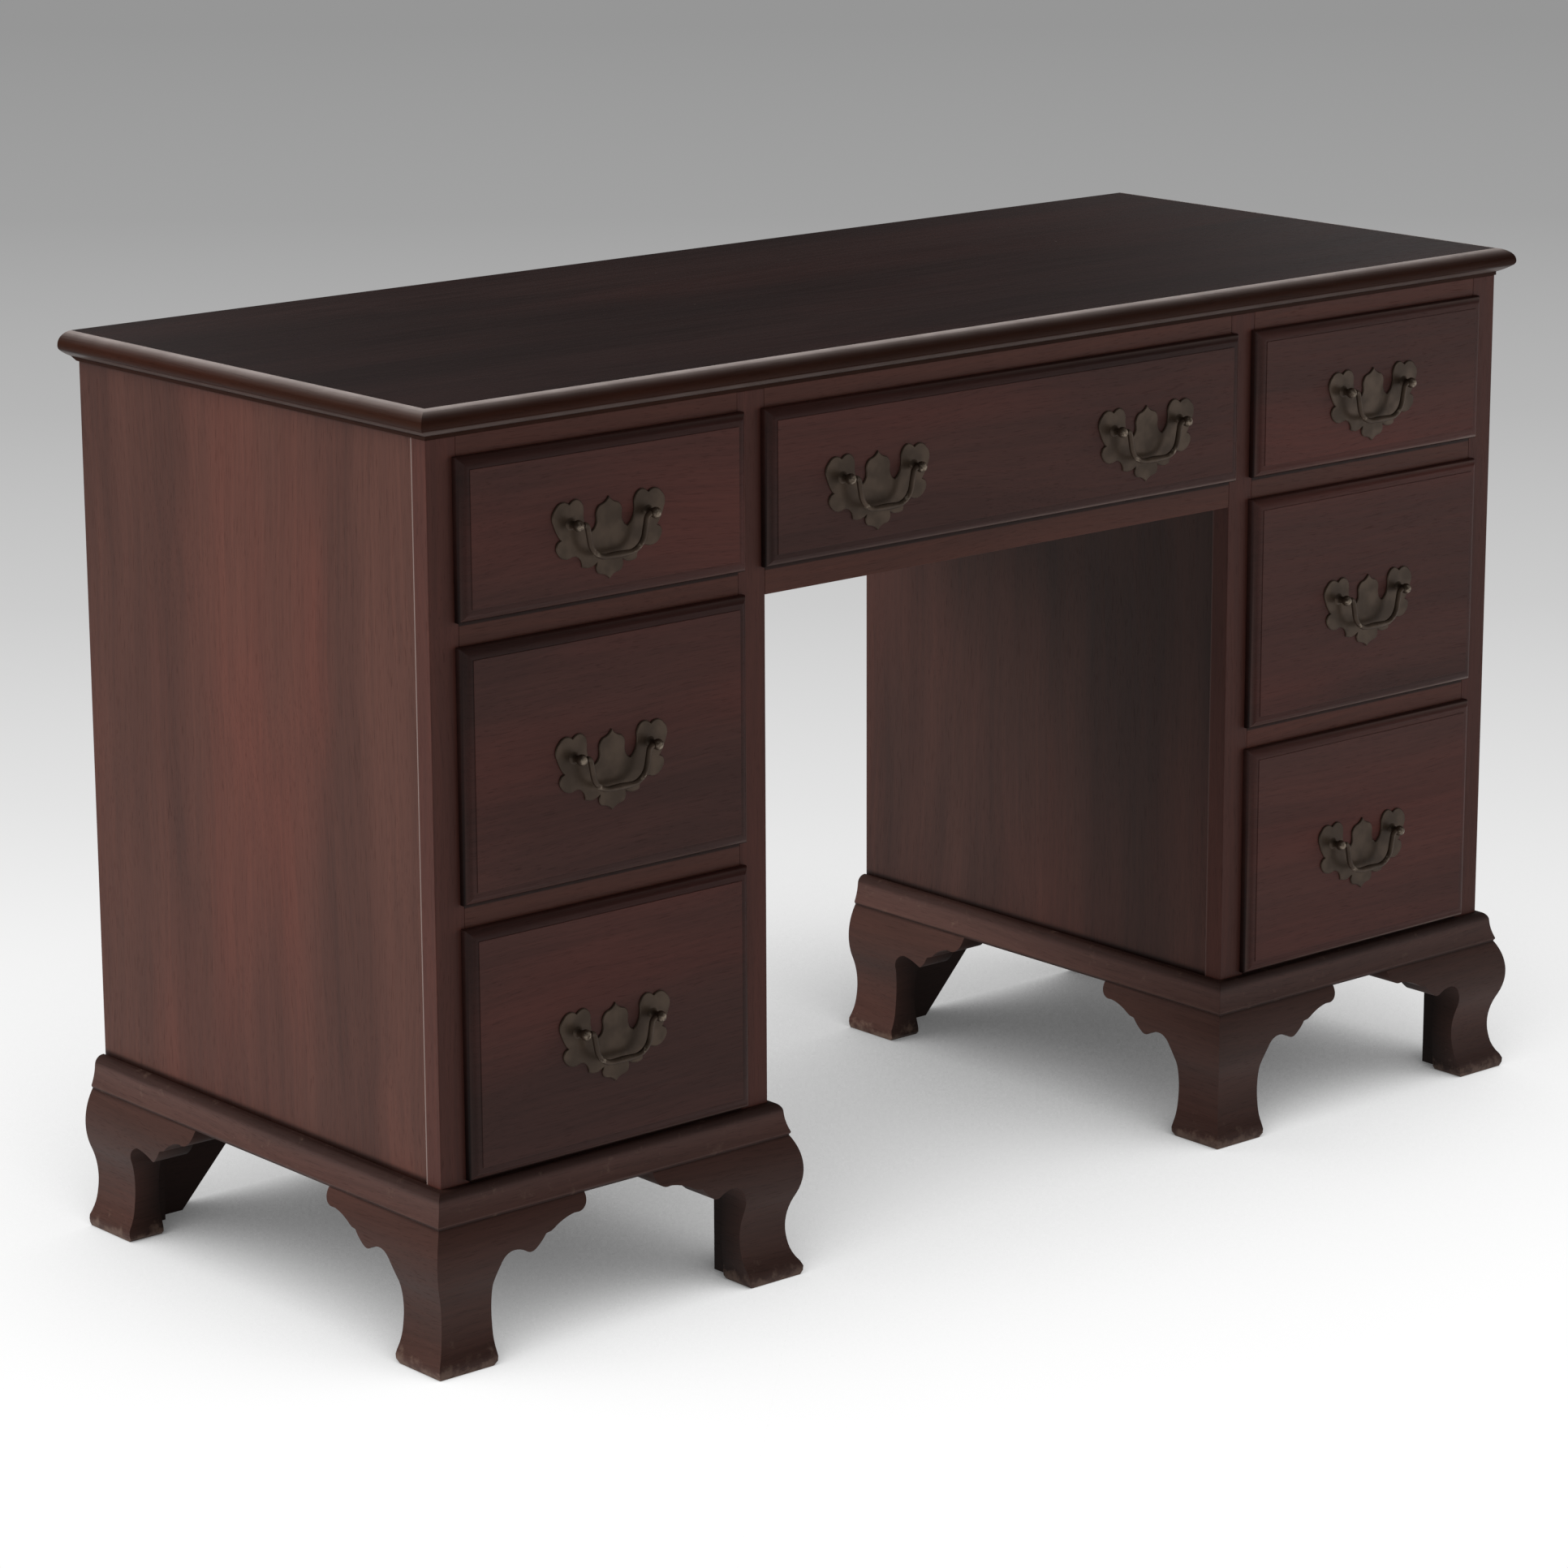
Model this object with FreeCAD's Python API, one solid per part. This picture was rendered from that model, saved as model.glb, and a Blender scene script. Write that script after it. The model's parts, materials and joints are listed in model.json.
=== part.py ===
import FreeCAD
import Part
import math
import os

# Kneehole writing desk, in millimetres: X across, -Y to the sitter, +Z up.
# The origin lies on the floor under the middle of the whole desk.

# case, stacked from the floor up
foot_height = 120.0
bottom_rail_height = 34.5
deep_opening_height = 195.0
rail_height = 27.0
top_opening_height = 120.0
top_rail_height = 19.5
top_thickness = 24.0

case_width = 1190.0
case_depth = 470.0
pedestal_width = 333.0
stile_width = 28.0
frame_thickness = 19.0
side_thickness = 19.0
side_inset = 1.5
pedestal_back_thickness = 6.0
kneehole_back_thickness = 12.0
floor_thickness = 18.0

# moulded edge of the top: reach beyond the case and drop below the surface
nose_reach = 14.5
nose_drop = 11.0
back_overhang = 8.0
quirk_reach = 0.6
quirk_drop = 1.4
band_reach = 2.4
band_drop = 1.8
upper_round_reach = 11.3
upper_round_drop = 5.0
lower_round_reach = 13.2
lower_round_drop = 15.2
nosing_foot_reach = 9.6
nosing_foot_drop = 18.2
bead_reach = 7.8
bead_round_reach = 6.6
bead_round_drop = 22.0
bead_foot_reach = 2.5

# base moulding: reach from the case and drop below its own top
moulding_height = 28.0
moulding_top_reach = 2.0
moulding_round_reach = 7.4
moulding_round_drop = 3.6
moulding_hip_reach = 9.3
moulding_hip_drop = 10.5
moulding_flare_reach = 10.7
moulding_flare_drop = 17.5
moulding_lip_reach = 13.4
moulding_lip_drop = 23.0
moulding_fillet_height = 3.0
moulding_foot_reach = 12.6

# ogee bracket feet: reach from the case, heights as shares of the foot
foot_top_reach = 12.6
foot_bulge_reach = 20.8
foot_turn_reach = 15.5
foot_waist_reach = 10.2
foot_toe_reach = 20.0
foot_tip_reach = 20.4
foot_sole_reach = 18.6
foot_bulge_share = 0.775
foot_turn_share = 0.567
foot_waist_share = 0.375
foot_toe_share = 0.085
foot_tip_share = 0.04
bracket_inset = 16.0
bracket_length = 133.0
glue_block_width = 18.0
glue_block_lift = 3.0
back_bracket_thickness = 19.0
back_bracket_toe = 70.0
back_bracket_gap = 33.0
back_bracket_share = 0.77

# scalloped lower edge of a bracket from the toe to the wing: (round point, end)
# as shares of the bracket's length and height, None where the edge is straight
toe_share = 0.308
scallop_shares = [
    (None, (0.308, 0.033)),
    ((0.271, 0.283), (0.323, 0.583)),
    ((0.365, 0.688), (0.440, 0.733)),
    ((0.519, 0.717), (0.599, 0.675)),
    ((0.647, 0.717), (0.686, 0.783)),
    (None, (0.726, 0.787)),
    ((0.782, 0.842), (0.887, 0.883)),
    ((0.974, 0.904), (1.0, 0.975)),
    (None, (1.0, 1.0)),
]

# lipped drawer fronts with a thumb-moulded edge
lip_overlap = 4.0
lip_thickness = 9.5
lip_clearance = 0.3
thumb_width = 10.0
thumb_step = 1.2
thumb_edge = 3.4
thumb_round_share = 0.3
tongue_depth = 12.5
tongue_clearance = 1.0

# drawer boxes
box_side_thickness = 12.0
box_back_thickness = 12.0
box_bottom_thickness = 6.0
box_bottom_lift = 9.0
box_groove_depth = 5.0
box_back_drop = 5.0
box_side_drop = 3.0
box_rear_clearance = 28.0
run_clearance = 0.3
tail_pitch = 38.0
tail_length = 10.0
tail_wide = 22.0
tail_narrow = 17.0

# drawer runners
runner_height = 16.0
guide_height = 14.0

# bail pulls
plate_half_width = 55.7
plate_height = 65.0
plate_thickness = 1.6
post_spacing = 76.2
post_standoff = 9.5
collar_radius = 5.0
neck_radius = 2.9
neck_length = 3.2
ball_radius = 4.6
pin_radius = 1.5
pin_clearance = 0.08
pin_depth = 3.0
bail_end_gap = 0.6
bail_radius = 2.0
bail_grip_radius = 3.0
bail_neck_bend = 3.8
bail_corner_bend = 10.5
bail_lean_degrees = 10.0
bail_drop = 27.6
center_pull_share = 0.577

# the brasses repeat, so their round forms have few sides
side_count = 8
arc_point_count = 3
post_tip_degrees = 68.0
same_point = 1e-6

# right half of the willow plate from the top point round to the bottom point:
# (round point, end) as shares of the half width and the height, from the posts
plate_top_share = 0.262
plate_shares = [
    ((0.063, 0.205), (0.144, 0.177)),
    ((0.206, 0.138), (0.233, 0.046)),
    ((0.251, -0.077), (0.323, -0.131)),
    ((0.413, -0.046), (0.449, 0.092)),
    ((0.476, 0.231), (0.575, 0.285)),
    ((0.646, 0.271), (0.700, 0.234)),
    ((0.844, 0.269), (0.943, 0.208)),
    ((1.0, 0.123), (0.978, 0.015)),
    ((0.925, -0.092), (0.853, -0.185)),
    ((0.930, -0.231), (0.925, -0.323)),
    ((0.826, -0.408), (0.664, -0.408)),
    ((0.539, -0.431), (0.485, -0.546)),
    ((0.359, -0.569), (0.224, -0.523)),
    ((0.180, -0.615), (0.090, -0.662)),
    ((0.036, -0.685), (0.0, -0.738)),
]

# stations of the bail's rings along its two bends
neck_shares = [0, 0.5, 1]
corner_shares = [0, 0.35, 0.7, 1]

# reach of all cutting and trimming shapes past what they cut
overrun = 5.0

# heights
bottom_sill = foot_height + bottom_rail_height
bottom_head = bottom_sill + deep_opening_height
middle_sill = bottom_head + rail_height
middle_head = middle_sill + deep_opening_height
top_sill = middle_head + rail_height
top_head = top_sill + top_opening_height
case_top = top_head + top_rail_height
desk_height = case_top + top_thickness
moulding_top = foot_height + moulding_height

# depths: the pulls reach furthest forward and the top furthest back
field_reach = lip_clearance + lip_thickness
tip_reach = ball_radius * math.sin(math.radians(post_tip_degrees))
ball_reach = field_reach + plate_thickness + post_standoff + tip_reach
face_y = (ball_reach - case_depth - back_overhang) / 2
frame_back_y = face_y + frame_thickness
case_back_y = face_y + case_depth
pedestal_back_y = case_back_y - pedestal_back_thickness
kneehole_back_y = case_back_y - kneehole_back_thickness
field_y = face_y - field_reach
tongue_y = face_y + tongue_depth
box_back_y = kneehole_back_y - box_rear_clearance
post_y = field_y - plate_thickness - post_standoff

# widths, for the right half: the left half is its mirror image
case_half = case_width / 2
knee_half = case_half - pedestal_width
outer_opening = case_half - stile_width
inner_opening = knee_half + stile_width
outer_side_in = case_half - side_inset - side_thickness
inner_side_in = knee_half + side_inset + side_thickness
knee_face = knee_half + side_inset
back_bracket_length = (pedestal_width - back_bracket_gap) / 2


def vec(x, y, z):
    return FreeCAD.Vector(x, y, z)


def box(x0, x1, y0, y1, z0, z1):
    return Part.makeBox(x1 - x0, y1 - y0, z1 - z0, vec(x0, y0, z0))


# Face inside an outline of (round point or None, end) steps; place sets a point in space.
def outline_face(start, steps, place):
    edges = []
    here = start
    for middle, end in steps + [(None, start)]:
        if end == here:
            continue
        if middle is None:
            edges.append(Part.LineSegment(place(*here), place(*end)).toShape())
        else:
            edges.append(Part.Arc(place(*here), place(*middle), place(*end)).toShape())
        here = end
    return Part.Face(Part.Wire(edges))


# Same outline with each round stretch as a few chords, for the small brasses.
def chord_face(start, steps, place):
    points = [place(*start)]
    for middle, end in steps:
        if middle is None:
            points.append(place(*end))
        else:
            arc = Part.Arc(points[-1], place(*middle), place(*end)).toShape()
            points += arc.discretize(Number=arc_point_count)[1:]
    if points[-1].distanceToPoint(points[0]) > same_point:
        points.append(points[0])
    return Part.Face(Part.makePolygon(points))


# Corners of a regular polygon of unit radius with a flat on each axis.
def unit_polygon():
    turns = [math.tau * (index + 0.5) / side_count for index in range(side_count)]
    return [(math.cos(turn), math.sin(turn)) for turn in turns]


# Corners of a ring round a centre in the plane of two directions.
def ring(center, first, second, radius):
    return [center + first * (radius * a) + second * (radius * b) for a, b in unit_polygon()]


def flat_face(corners):
    return Part.Face(Part.makePolygon(corners + corners[:1]))


# Solid with flat facets through a row of rings.
def facet_solid(rings):
    faces = [flat_face(rings[0]), flat_face(rings[-1])]
    for near, far in zip(rings, rings[1:]):
        for index in range(side_count):
            faces.append(flat_face([near[index - 1], near[index], far[index], far[index - 1]]))
    return Part.Solid(Part.Shell(faces))


def polygon_face(points, place):
    return outline_face(points[0], [(None, point) for point in points[1:]], place)


def flip(point):
    return None if point is None else (-point[0], point[1])


# Adds the mirror image of the steps, back to the start's own image.
def mirrored(start, steps):
    starts = [start] + [end for middle, end in steps]
    turn = [(None, flip(starts[-1]))]
    back = [(flip(middle), flip(before)) for (middle, end), before in zip(steps, starts)]
    return steps + turn + back[::-1]


def mirror_x(shape):
    return shape.mirror(vec(0, 0, 0), vec(1, 0, 0))


def both_sides(shape):
    return [mirror_x(shape), shape]


def group(shapes):
    return Part.makeCompound(shapes) if len(shapes) > 1 else shapes[0]


def save(name, *shapes):
    group(list(shapes)).exportStep("parts/" + name + ".step")


# Edge of the top: (reach, height) steps from the case line at the surface down to its underside.
def top_edge_steps(line):
    def at(reach, drop):
        return (line + reach, desk_height - drop)

    return [
        (None, at(quirk_reach, quirk_drop)),
        (None, at(band_reach, band_drop)),
        (at(upper_round_reach, upper_round_drop), at(nose_reach, nose_drop)),
        (at(lower_round_reach, lower_round_drop), at(nosing_foot_reach, nosing_foot_drop)),
        (None, at(bead_reach, nosing_foot_drop)),
        (at(bead_round_reach, bead_round_drop), at(bead_foot_reach, top_thickness)),
    ]


# The top's two edge profiles run through each other, so the moulding is mitred at the corners.
def desk_top():
    nose_y = face_y - nose_reach
    back_y = case_back_y + back_overhang
    nose_half = case_half + nose_reach
    start = (case_half, desk_height)
    across = outline_face(start, mirrored(start, top_edge_steps(case_half)),
                          lambda a, z: vec(a, nose_y, z))
    across = across.extrude(vec(0, back_y - nose_y, 0))
    front_steps = top_edge_steps(-face_y)
    front_steps += [(None, (-back_y, case_top)), (None, (-back_y, desk_height))]
    along = outline_face((-face_y, desk_height), front_steps, lambda a, z: vec(-nose_half, -a, z))
    along = along.extrude(vec(nose_half + nose_half, 0, 0))
    return across.common(along)


def side_panels():
    outer = box(outer_side_in, outer_side_in + side_thickness, frame_back_y, case_back_y,
                foot_height, case_top)
    inner = box(knee_face, knee_face + side_thickness, frame_back_y, case_back_y,
                foot_height, case_top)
    return outer, inner


def stiles():
    outer = box(outer_opening, case_half, face_y, frame_back_y, foot_height, case_top)
    inner = box(knee_half, inner_opening, face_y, frame_back_y, foot_height, case_top)
    return both_sides(outer) + both_sides(inner)


def rail(x0, x1, z0, z1):
    return box(x0, x1, face_y, frame_back_y, z0, z1)


def pedestal_rails():
    heights = [(foot_height, bottom_sill), (bottom_head, middle_sill), (middle_head, top_sill)]
    return [rail(inner_opening, outer_opening, z0, z1) for z0, z1 in heights]


def top_rails():
    pedestal = rail(inner_opening, outer_opening, top_head, case_top)
    return both_sides(pedestal) + [rail(-knee_half, knee_half, top_head, case_top)]


def pedestal_back():
    return box(inner_side_in, outer_side_in, pedestal_back_y, case_back_y, foot_height, case_top)


def pedestal_floor():
    return box(inner_side_in, outer_side_in, frame_back_y, pedestal_back_y,
               foot_height, foot_height + floor_thickness)


# Runner strip under a drawer side and the guide strip on it, against the case side.
def runner(wall_x, guide_x, sill):
    inward = 1 if guide_x > wall_x else -1
    foot_x = guide_x + inward * (tongue_clearance + box_side_thickness)
    strip = box(min(wall_x, foot_x), max(wall_x, foot_x), frame_back_y, pedestal_back_y,
                sill - runner_height, sill)
    guide = box(min(wall_x, guide_x), max(wall_x, guide_x), frame_back_y, pedestal_back_y,
                sill, sill + guide_height)
    return [strip, guide]


def pedestal_runners():
    runners = []
    for sill in (bottom_sill, middle_sill, top_sill):
        runners += runner(outer_side_in, outer_opening, sill)
        runners += runner(inner_side_in, inner_opening, sill)
    return runners


def center_runners():
    foot_x = knee_half - tongue_clearance - box_side_thickness
    strip = box(foot_x, knee_face, frame_back_y, kneehole_back_y, top_sill - runner_height, top_sill)
    return both_sides(strip)


# Base moulding section: (reach, height) round the outside of a pedestal.
def moulding_face(place):
    def at(reach, drop):
        return (reach, moulding_top - drop)

    fillet_drop = moulding_lip_drop + moulding_fillet_height
    steps = [
        (None, at(moulding_top_reach, 0)),
        (at(moulding_round_reach, moulding_round_drop), at(moulding_hip_reach, moulding_hip_drop)),
        (at(moulding_flare_reach, moulding_flare_drop), at(moulding_lip_reach, moulding_lip_drop)),
        (None, at(moulding_lip_reach, fillet_drop)),
        (None, at(moulding_foot_reach, moulding_height)),
        (None, at(0, moulding_height)),
    ]
    return outline_face(at(0, 0), steps, place)


# Three lengths, mitred at the two front corners and square at the back.
def base_moulding():
    reach = moulding_lip_reach + overrun
    left = knee_half
    right = case_half
    front = moulding_face(lambda a, z: vec(left - reach, face_y - a, z))
    front = front.extrude(vec(right - left + reach + reach, 0, 0))
    inner = moulding_face(lambda a, z: vec(left - a, face_y - reach, z))
    inner = inner.extrude(vec(0, case_depth + reach, 0))
    outer = moulding_face(lambda a, z: vec(right + a, face_y - reach, z))
    outer = outer.extrude(vec(0, case_depth + reach, 0))
    plans = [
        [(left, face_y), (left - reach, face_y - reach), (right + reach, face_y - reach), (right, face_y)],
        [(left, face_y), (left - reach, face_y - reach), (left - reach, case_back_y), (left, case_back_y)],
        [(right, face_y), (right + reach, face_y - reach), (right + reach, case_back_y),
         (right, case_back_y)],
    ]
    lengths = []
    for length, plan in zip((front, inner, outer), plans):
        trim = polygon_face(plan, lambda x, y: vec(x, y, foot_height))
        lengths.append(length.common(trim.extrude(vec(0, 0, moulding_height))))
    return lengths


# Ogee bracket along +X from a case corner at the origin, its face to -Y, cut to the plan given.
def ogee_bracket(plan):
    reach = foot_bulge_reach + overrun
    depth = reach + bracket_inset

    def high(share):
        return share * foot_height

    def along(share):
        return share * bracket_length

    ogee = [
        ((foot_bulge_reach, high(foot_bulge_share)), (foot_turn_reach, high(foot_turn_share))),
        ((foot_waist_reach, high(foot_waist_share)), (foot_toe_reach, high(foot_toe_share))),
        ((foot_tip_reach, high(foot_tip_share)), (foot_sole_reach, 0)),
        (None, (-bracket_inset, 0)),
        (None, (-bracket_inset, foot_height)),
    ]
    section = outline_face((foot_top_reach, foot_height), ogee, lambda a, z: vec(-reach, -a, z))
    board = section.extrude(vec(reach + bracket_length, 0, 0))
    steps = []
    for middle, end in scallop_shares:
        bend = None if middle is None else (along(middle[0]), high(middle[1]))
        steps.append((bend, (along(end[0]), high(end[1]))))
    steps += [(None, (-reach, foot_height)), (None, (-reach, 0))]
    scallop = outline_face((along(toe_share), 0), steps, lambda x, z: vec(x, -reach, z))
    trim = polygon_face(plan, lambda x, y: vec(x, y, 0))
    shape = board.common(scallop.extrude(vec(0, depth, 0)))
    return shape.common(trim.extrude(vec(0, 0, foot_height)))


def turn_to_side(shape):
    return shape.mirror(vec(0, 0, 0), vec(1, -1, 0))


# Two mitred ogee brackets with a glue block in the corner behind them.
def front_foot():
    reach = foot_bulge_reach + overrun
    inset = bracket_inset
    plan = [(-reach, -reach), (bracket_length, -reach), (bracket_length, inset), (inset, inset)]
    bracket = ogee_bracket(plan)
    block = box(inset, inset + glue_block_width, inset, inset + glue_block_width,
                glue_block_lift, foot_height)
    return [bracket, turn_to_side(bracket), block]


# One ogee bracket at the side and a plain board with a slanted end at the back.
def rear_foot():
    reach = foot_bulge_reach + overrun
    inset = bracket_inset
    plan = [(0, -reach), (bracket_length, -reach), (bracket_length, inset), (0, inset)]
    bracket = turn_to_side(ogee_bracket(plan))
    slant_top = back_bracket_share * foot_height
    outline = [(inset, 0), (back_bracket_toe, 0), (back_bracket_length, slant_top),
               (back_bracket_length, foot_height), (inset, foot_height)]
    board = polygon_face(outline, lambda x, z: vec(x, 0, z)).extrude(vec(0, back_bracket_thickness, 0))
    front = back_bracket_thickness
    block = box(inset, inset + glue_block_width, front, front + glue_block_width,
                glue_block_lift, foot_height)
    return [bracket, board, block]


# Sets a foot made for a left front corner at any corner of the case.
def at_corner(shapes, x, y, right, rear):
    placed = []
    for shape in shapes:
        if right:
            shape = mirror_x(shape)
        if rear:
            shape = shape.mirror(vec(0, 0, 0), vec(0, 1, 0))
        placed.append(shape.translated(vec(x, y, 0)))
    return placed


# Half section of a drawer front across its opening: (across, depth from the case face).
def lip_steps(half):
    edge = half + lip_overlap
    field = edge - thumb_width
    tongue = half - tongue_clearance
    low = -field_reach + thumb_step
    rise = -lip_clearance - thumb_edge
    bend = (edge - thumb_round_share * thumb_width, low + thumb_round_share * (rise - low))
    steps = [
        (None, (field, low)),
        (bend, (edge, rise)),
        (None, (edge, -lip_clearance)),
        (None, (tongue, -lip_clearance)),
        (None, (tongue, tongue_depth)),
    ]
    return (field, -field_reach), steps


# The two lip sections run through each other, so the moulded edge is mitred at the corners.
def drawer_block(middle_x, half_width, sill, head):
    edge = half_width + lip_overlap
    half_height = (head - sill) / 2
    middle_z = sill + half_height
    start, steps = lip_steps(half_width)
    upright = outline_face(start, mirrored(start, steps),
                           lambda a, d: vec(middle_x + a, face_y + d, sill - lip_overlap))
    upright = upright.extrude(vec(0, 0, head - sill + lip_overlap + lip_overlap))
    start, steps = lip_steps(half_height)
    level = outline_face(start, mirrored(start, steps),
                         lambda a, d: vec(middle_x - edge, face_y + d, middle_z + a))
    level = level.extrude(vec(edge + edge, 0, 0))
    return upright.common(level)


# Drawer side with a row of dovetails on its front end.
def drawer_side(x0, sill, head):
    low = sill + run_clearance
    high = head - box_side_drop
    count = max(1, round((high - low) / tail_pitch))
    pitch = (high - low) / count
    outline = [(tongue_y, low)]
    for index in range(count):
        middle = low + pitch * (index + 0.5)
        outline += [(tongue_y, middle - tail_narrow / 2), (tongue_y - tail_length, middle - tail_wide / 2),
                    (tongue_y - tail_length, middle + tail_wide / 2), (tongue_y, middle + tail_narrow / 2)]
    outline += [(tongue_y, high), (box_back_y, high), (box_back_y, low)]
    face = polygon_face(outline, lambda y, z: vec(x0, y, z))
    return face.extrude(vec(box_side_thickness, 0, 0))


# Drawer front with its dovetail sockets and bottom groove, and the box behind it.
def drawer(middle_x, half_width, sill, head):
    box_half = half_width - tongue_clearance
    left = middle_x - box_half
    right = middle_x + box_half
    floor_z = sill + run_clearance + box_bottom_lift
    floor_top = floor_z + box_bottom_thickness
    inner_left = left + box_side_thickness
    inner_right = right - box_side_thickness
    sides = [drawer_side(left, sill, head), drawer_side(inner_right, sill, head)]
    bottom = box(inner_left - box_groove_depth, inner_right + box_groove_depth,
                 tongue_y - box_groove_depth, box_back_y, floor_z, floor_top)
    back = box(inner_left, inner_right, box_back_y - box_back_thickness, box_back_y,
               floor_top, head - box_side_drop - box_back_drop)
    front = drawer_block(middle_x, half_width, sill, head).cut(bottom)
    for side in sides:
        front = front.cut(side)
    return front, [side.cut(bottom) for side in sides] + [back, bottom]


# Pull plate with its pointed middle and winged ends.
def pull_plate():
    def at(point):
        return None if point is None else (point[0] * plate_half_width, point[1] * plate_height)

    start = at((0, plate_top_share))
    steps = [(at(middle), at(end)) for middle, end in plate_shares]
    face = chord_face(start, mirrored(start, steps), lambda x, z: vec(x, field_y, z))
    return face.extrude(vec(0, -plate_thickness, 0))


# Turned post: flared foot on the plate and a ball head, bored for the bail's pin.
def pull_post(side):
    seat = field_y - plate_thickness
    neck_angle = math.acos(neck_radius / ball_radius)
    tip_angle = math.radians(post_tip_degrees)
    rounds = [(seat, collar_radius), (seat - neck_length, neck_radius)]
    for angle in (-neck_angle, 0, neck_angle, tip_angle):
        rounds.append((post_y - ball_radius * math.sin(angle), ball_radius * math.cos(angle)))
    rings = [ring(vec(0, y, 0), vec(1, 0, 0), vec(0, 0, 1), radius) for y, radius in rounds]
    bore = Part.makeCylinder(pin_radius + pin_clearance, pin_depth + overrun,
                             vec(ball_radius - pin_depth, post_y, 0), vec(1, 0, 0))
    post = facet_solid(rings).cut(bore)
    if side > 0:
        post = mirror_x(post)
    return post.translated(vec(side * post_spacing / 2, 0, 0))


# Bail: bent ends with pins in the posts, leaning arms, round corners and a swelling grip.
def bail():
    lean = math.radians(bail_lean_degrees)
    end_x = post_spacing / 2 - ball_radius - bail_end_gap
    neck_x = end_x - bail_neck_bend * math.cos(lean)
    neck_z = bail_neck_bend * (math.sin(lean) - 1)
    arm_z = -bail_drop + bail_corner_bend * (1 - math.sin(lean))
    arm_x = neck_x - (neck_z - arm_z) * math.tan(lean)
    corner_x = arm_x - bail_corner_bend * math.cos(lean)
    turn = math.pi / 2 - lean

    # (x, z, angle of the wire below the level) from the right end to the middle of the grip
    def neck(share):
        angle = share * turn
        return (end_x - bail_neck_bend * math.sin(angle), bail_neck_bend * (math.cos(angle) - 1), angle)

    def corner(share):
        angle = (1 - share) * turn
        return (corner_x + bail_corner_bend * math.sin(angle),
                bail_corner_bend * (1 - math.cos(angle)) - bail_drop, angle)

    stations = [neck(share) for share in neck_shares] + [corner(share) for share in corner_shares]
    half = [(x, z, angle, bail_radius) for x, z, angle in stations]
    whole = half + [(0, -bail_drop, 0, bail_grip_radius)]
    whole += [(-x, z, -angle, radius) for x, z, angle, radius in half[::-1]]
    rings = []
    for x, z, angle, radius in whole:
        across = vec(-math.sin(angle), 0, math.cos(angle))
        rings.append(ring(vec(x, post_y, z), across, vec(0, 1, 0), radius))
    pin = Part.makeCylinder(pin_radius, bail_end_gap + pin_depth - pin_clearance,
                            vec(end_x, post_y, 0), vec(1, 0, 0))
    return facet_solid(rings).fuse([pin, mirror_x(pin)])


os.makedirs("parts", exist_ok=True)

save("desk_top", desk_top())
outer_side, inner_side = side_panels()
save("right_outer_side", outer_side)
save("right_inner_side", inner_side)
save("left_outer_side", mirror_x(outer_side))
save("left_inner_side", mirror_x(inner_side))
save("front_stiles", *stiles())
save("top_rails", *top_rails())
save("kneehole_rail", rail(-knee_half, knee_half, middle_head, top_sill))
save("kneehole_back", box(-knee_face, knee_face, kneehole_back_y, case_back_y, middle_head, case_top))
save("center_runners", *center_runners())

pedestal = {
    "rails": pedestal_rails(),
    "back": [pedestal_back()],
    "floor": [pedestal_floor()],
    "runners": pedestal_runners(),
    "base_moulding": base_moulding(),
}
for piece, shapes in pedestal.items():
    save("right_" + piece, *shapes)
    save("left_" + piece, *[mirror_x(shape) for shape in shapes])

front_shapes = front_foot()
rear_shapes = rear_foot()
inner_front = at_corner(front_shapes, knee_half, face_y, False, False)
outer_front = at_corner(front_shapes, case_half, face_y, True, False)
inner_rear = at_corner(rear_shapes, knee_half, case_back_y, False, True)
outer_rear = at_corner(rear_shapes, case_half, case_back_y, True, True)
feet = {"inner_front_foot": inner_front, "outer_front_foot": outer_front,
        "inner_rear_foot": inner_rear, "outer_rear_foot": outer_rear}
for piece, shapes in feet.items():
    save("right_" + piece, *shapes)
    save("left_" + piece, *[mirror_x(shape) for shape in shapes])

# drawers: name, middle, half width of the opening, sill, head and the pulls' places
pedestal_middle = (inner_opening + outer_opening) / 2
pedestal_half = (outer_opening - inner_opening) / 2
center_pull = knee_half * center_pull_share
levels = {"top": (top_sill, top_head), "middle": (middle_sill, middle_head),
          "bottom": (bottom_sill, bottom_head)}
drawers = [("center", 0, knee_half, top_sill, top_head, {"_left": -center_pull, "_right": center_pull})]
for side, sign in (("left", -1), ("right", 1)):
    for level, (sill, head) in levels.items():
        drawers.append((side + "_" + level, sign * pedestal_middle, pedestal_half, sill, head, {"": 0}))

mount = [pull_plate(), pull_post(-1), pull_post(1)]
bail_shape = bail()
for name, middle_x, half_width, sill, head, pulls in drawers:
    front, box_shapes = drawer(middle_x, half_width, sill, head)
    save(name + "_drawer_front", front)
    save(name + "_drawer_box", *box_shapes)
    for tag, offset in pulls.items():
        place = vec(middle_x + offset, 0, (sill + head) / 2)
        save(name + tag + "_pull_mount", *[shape.translated(place) for shape in mount])
        save(name + tag + "_bail", bail_shape.translated(place))
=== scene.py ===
import json
import math

import bmesh
import bpy
import numpy as np
from mathutils import Matrix, Vector

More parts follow.
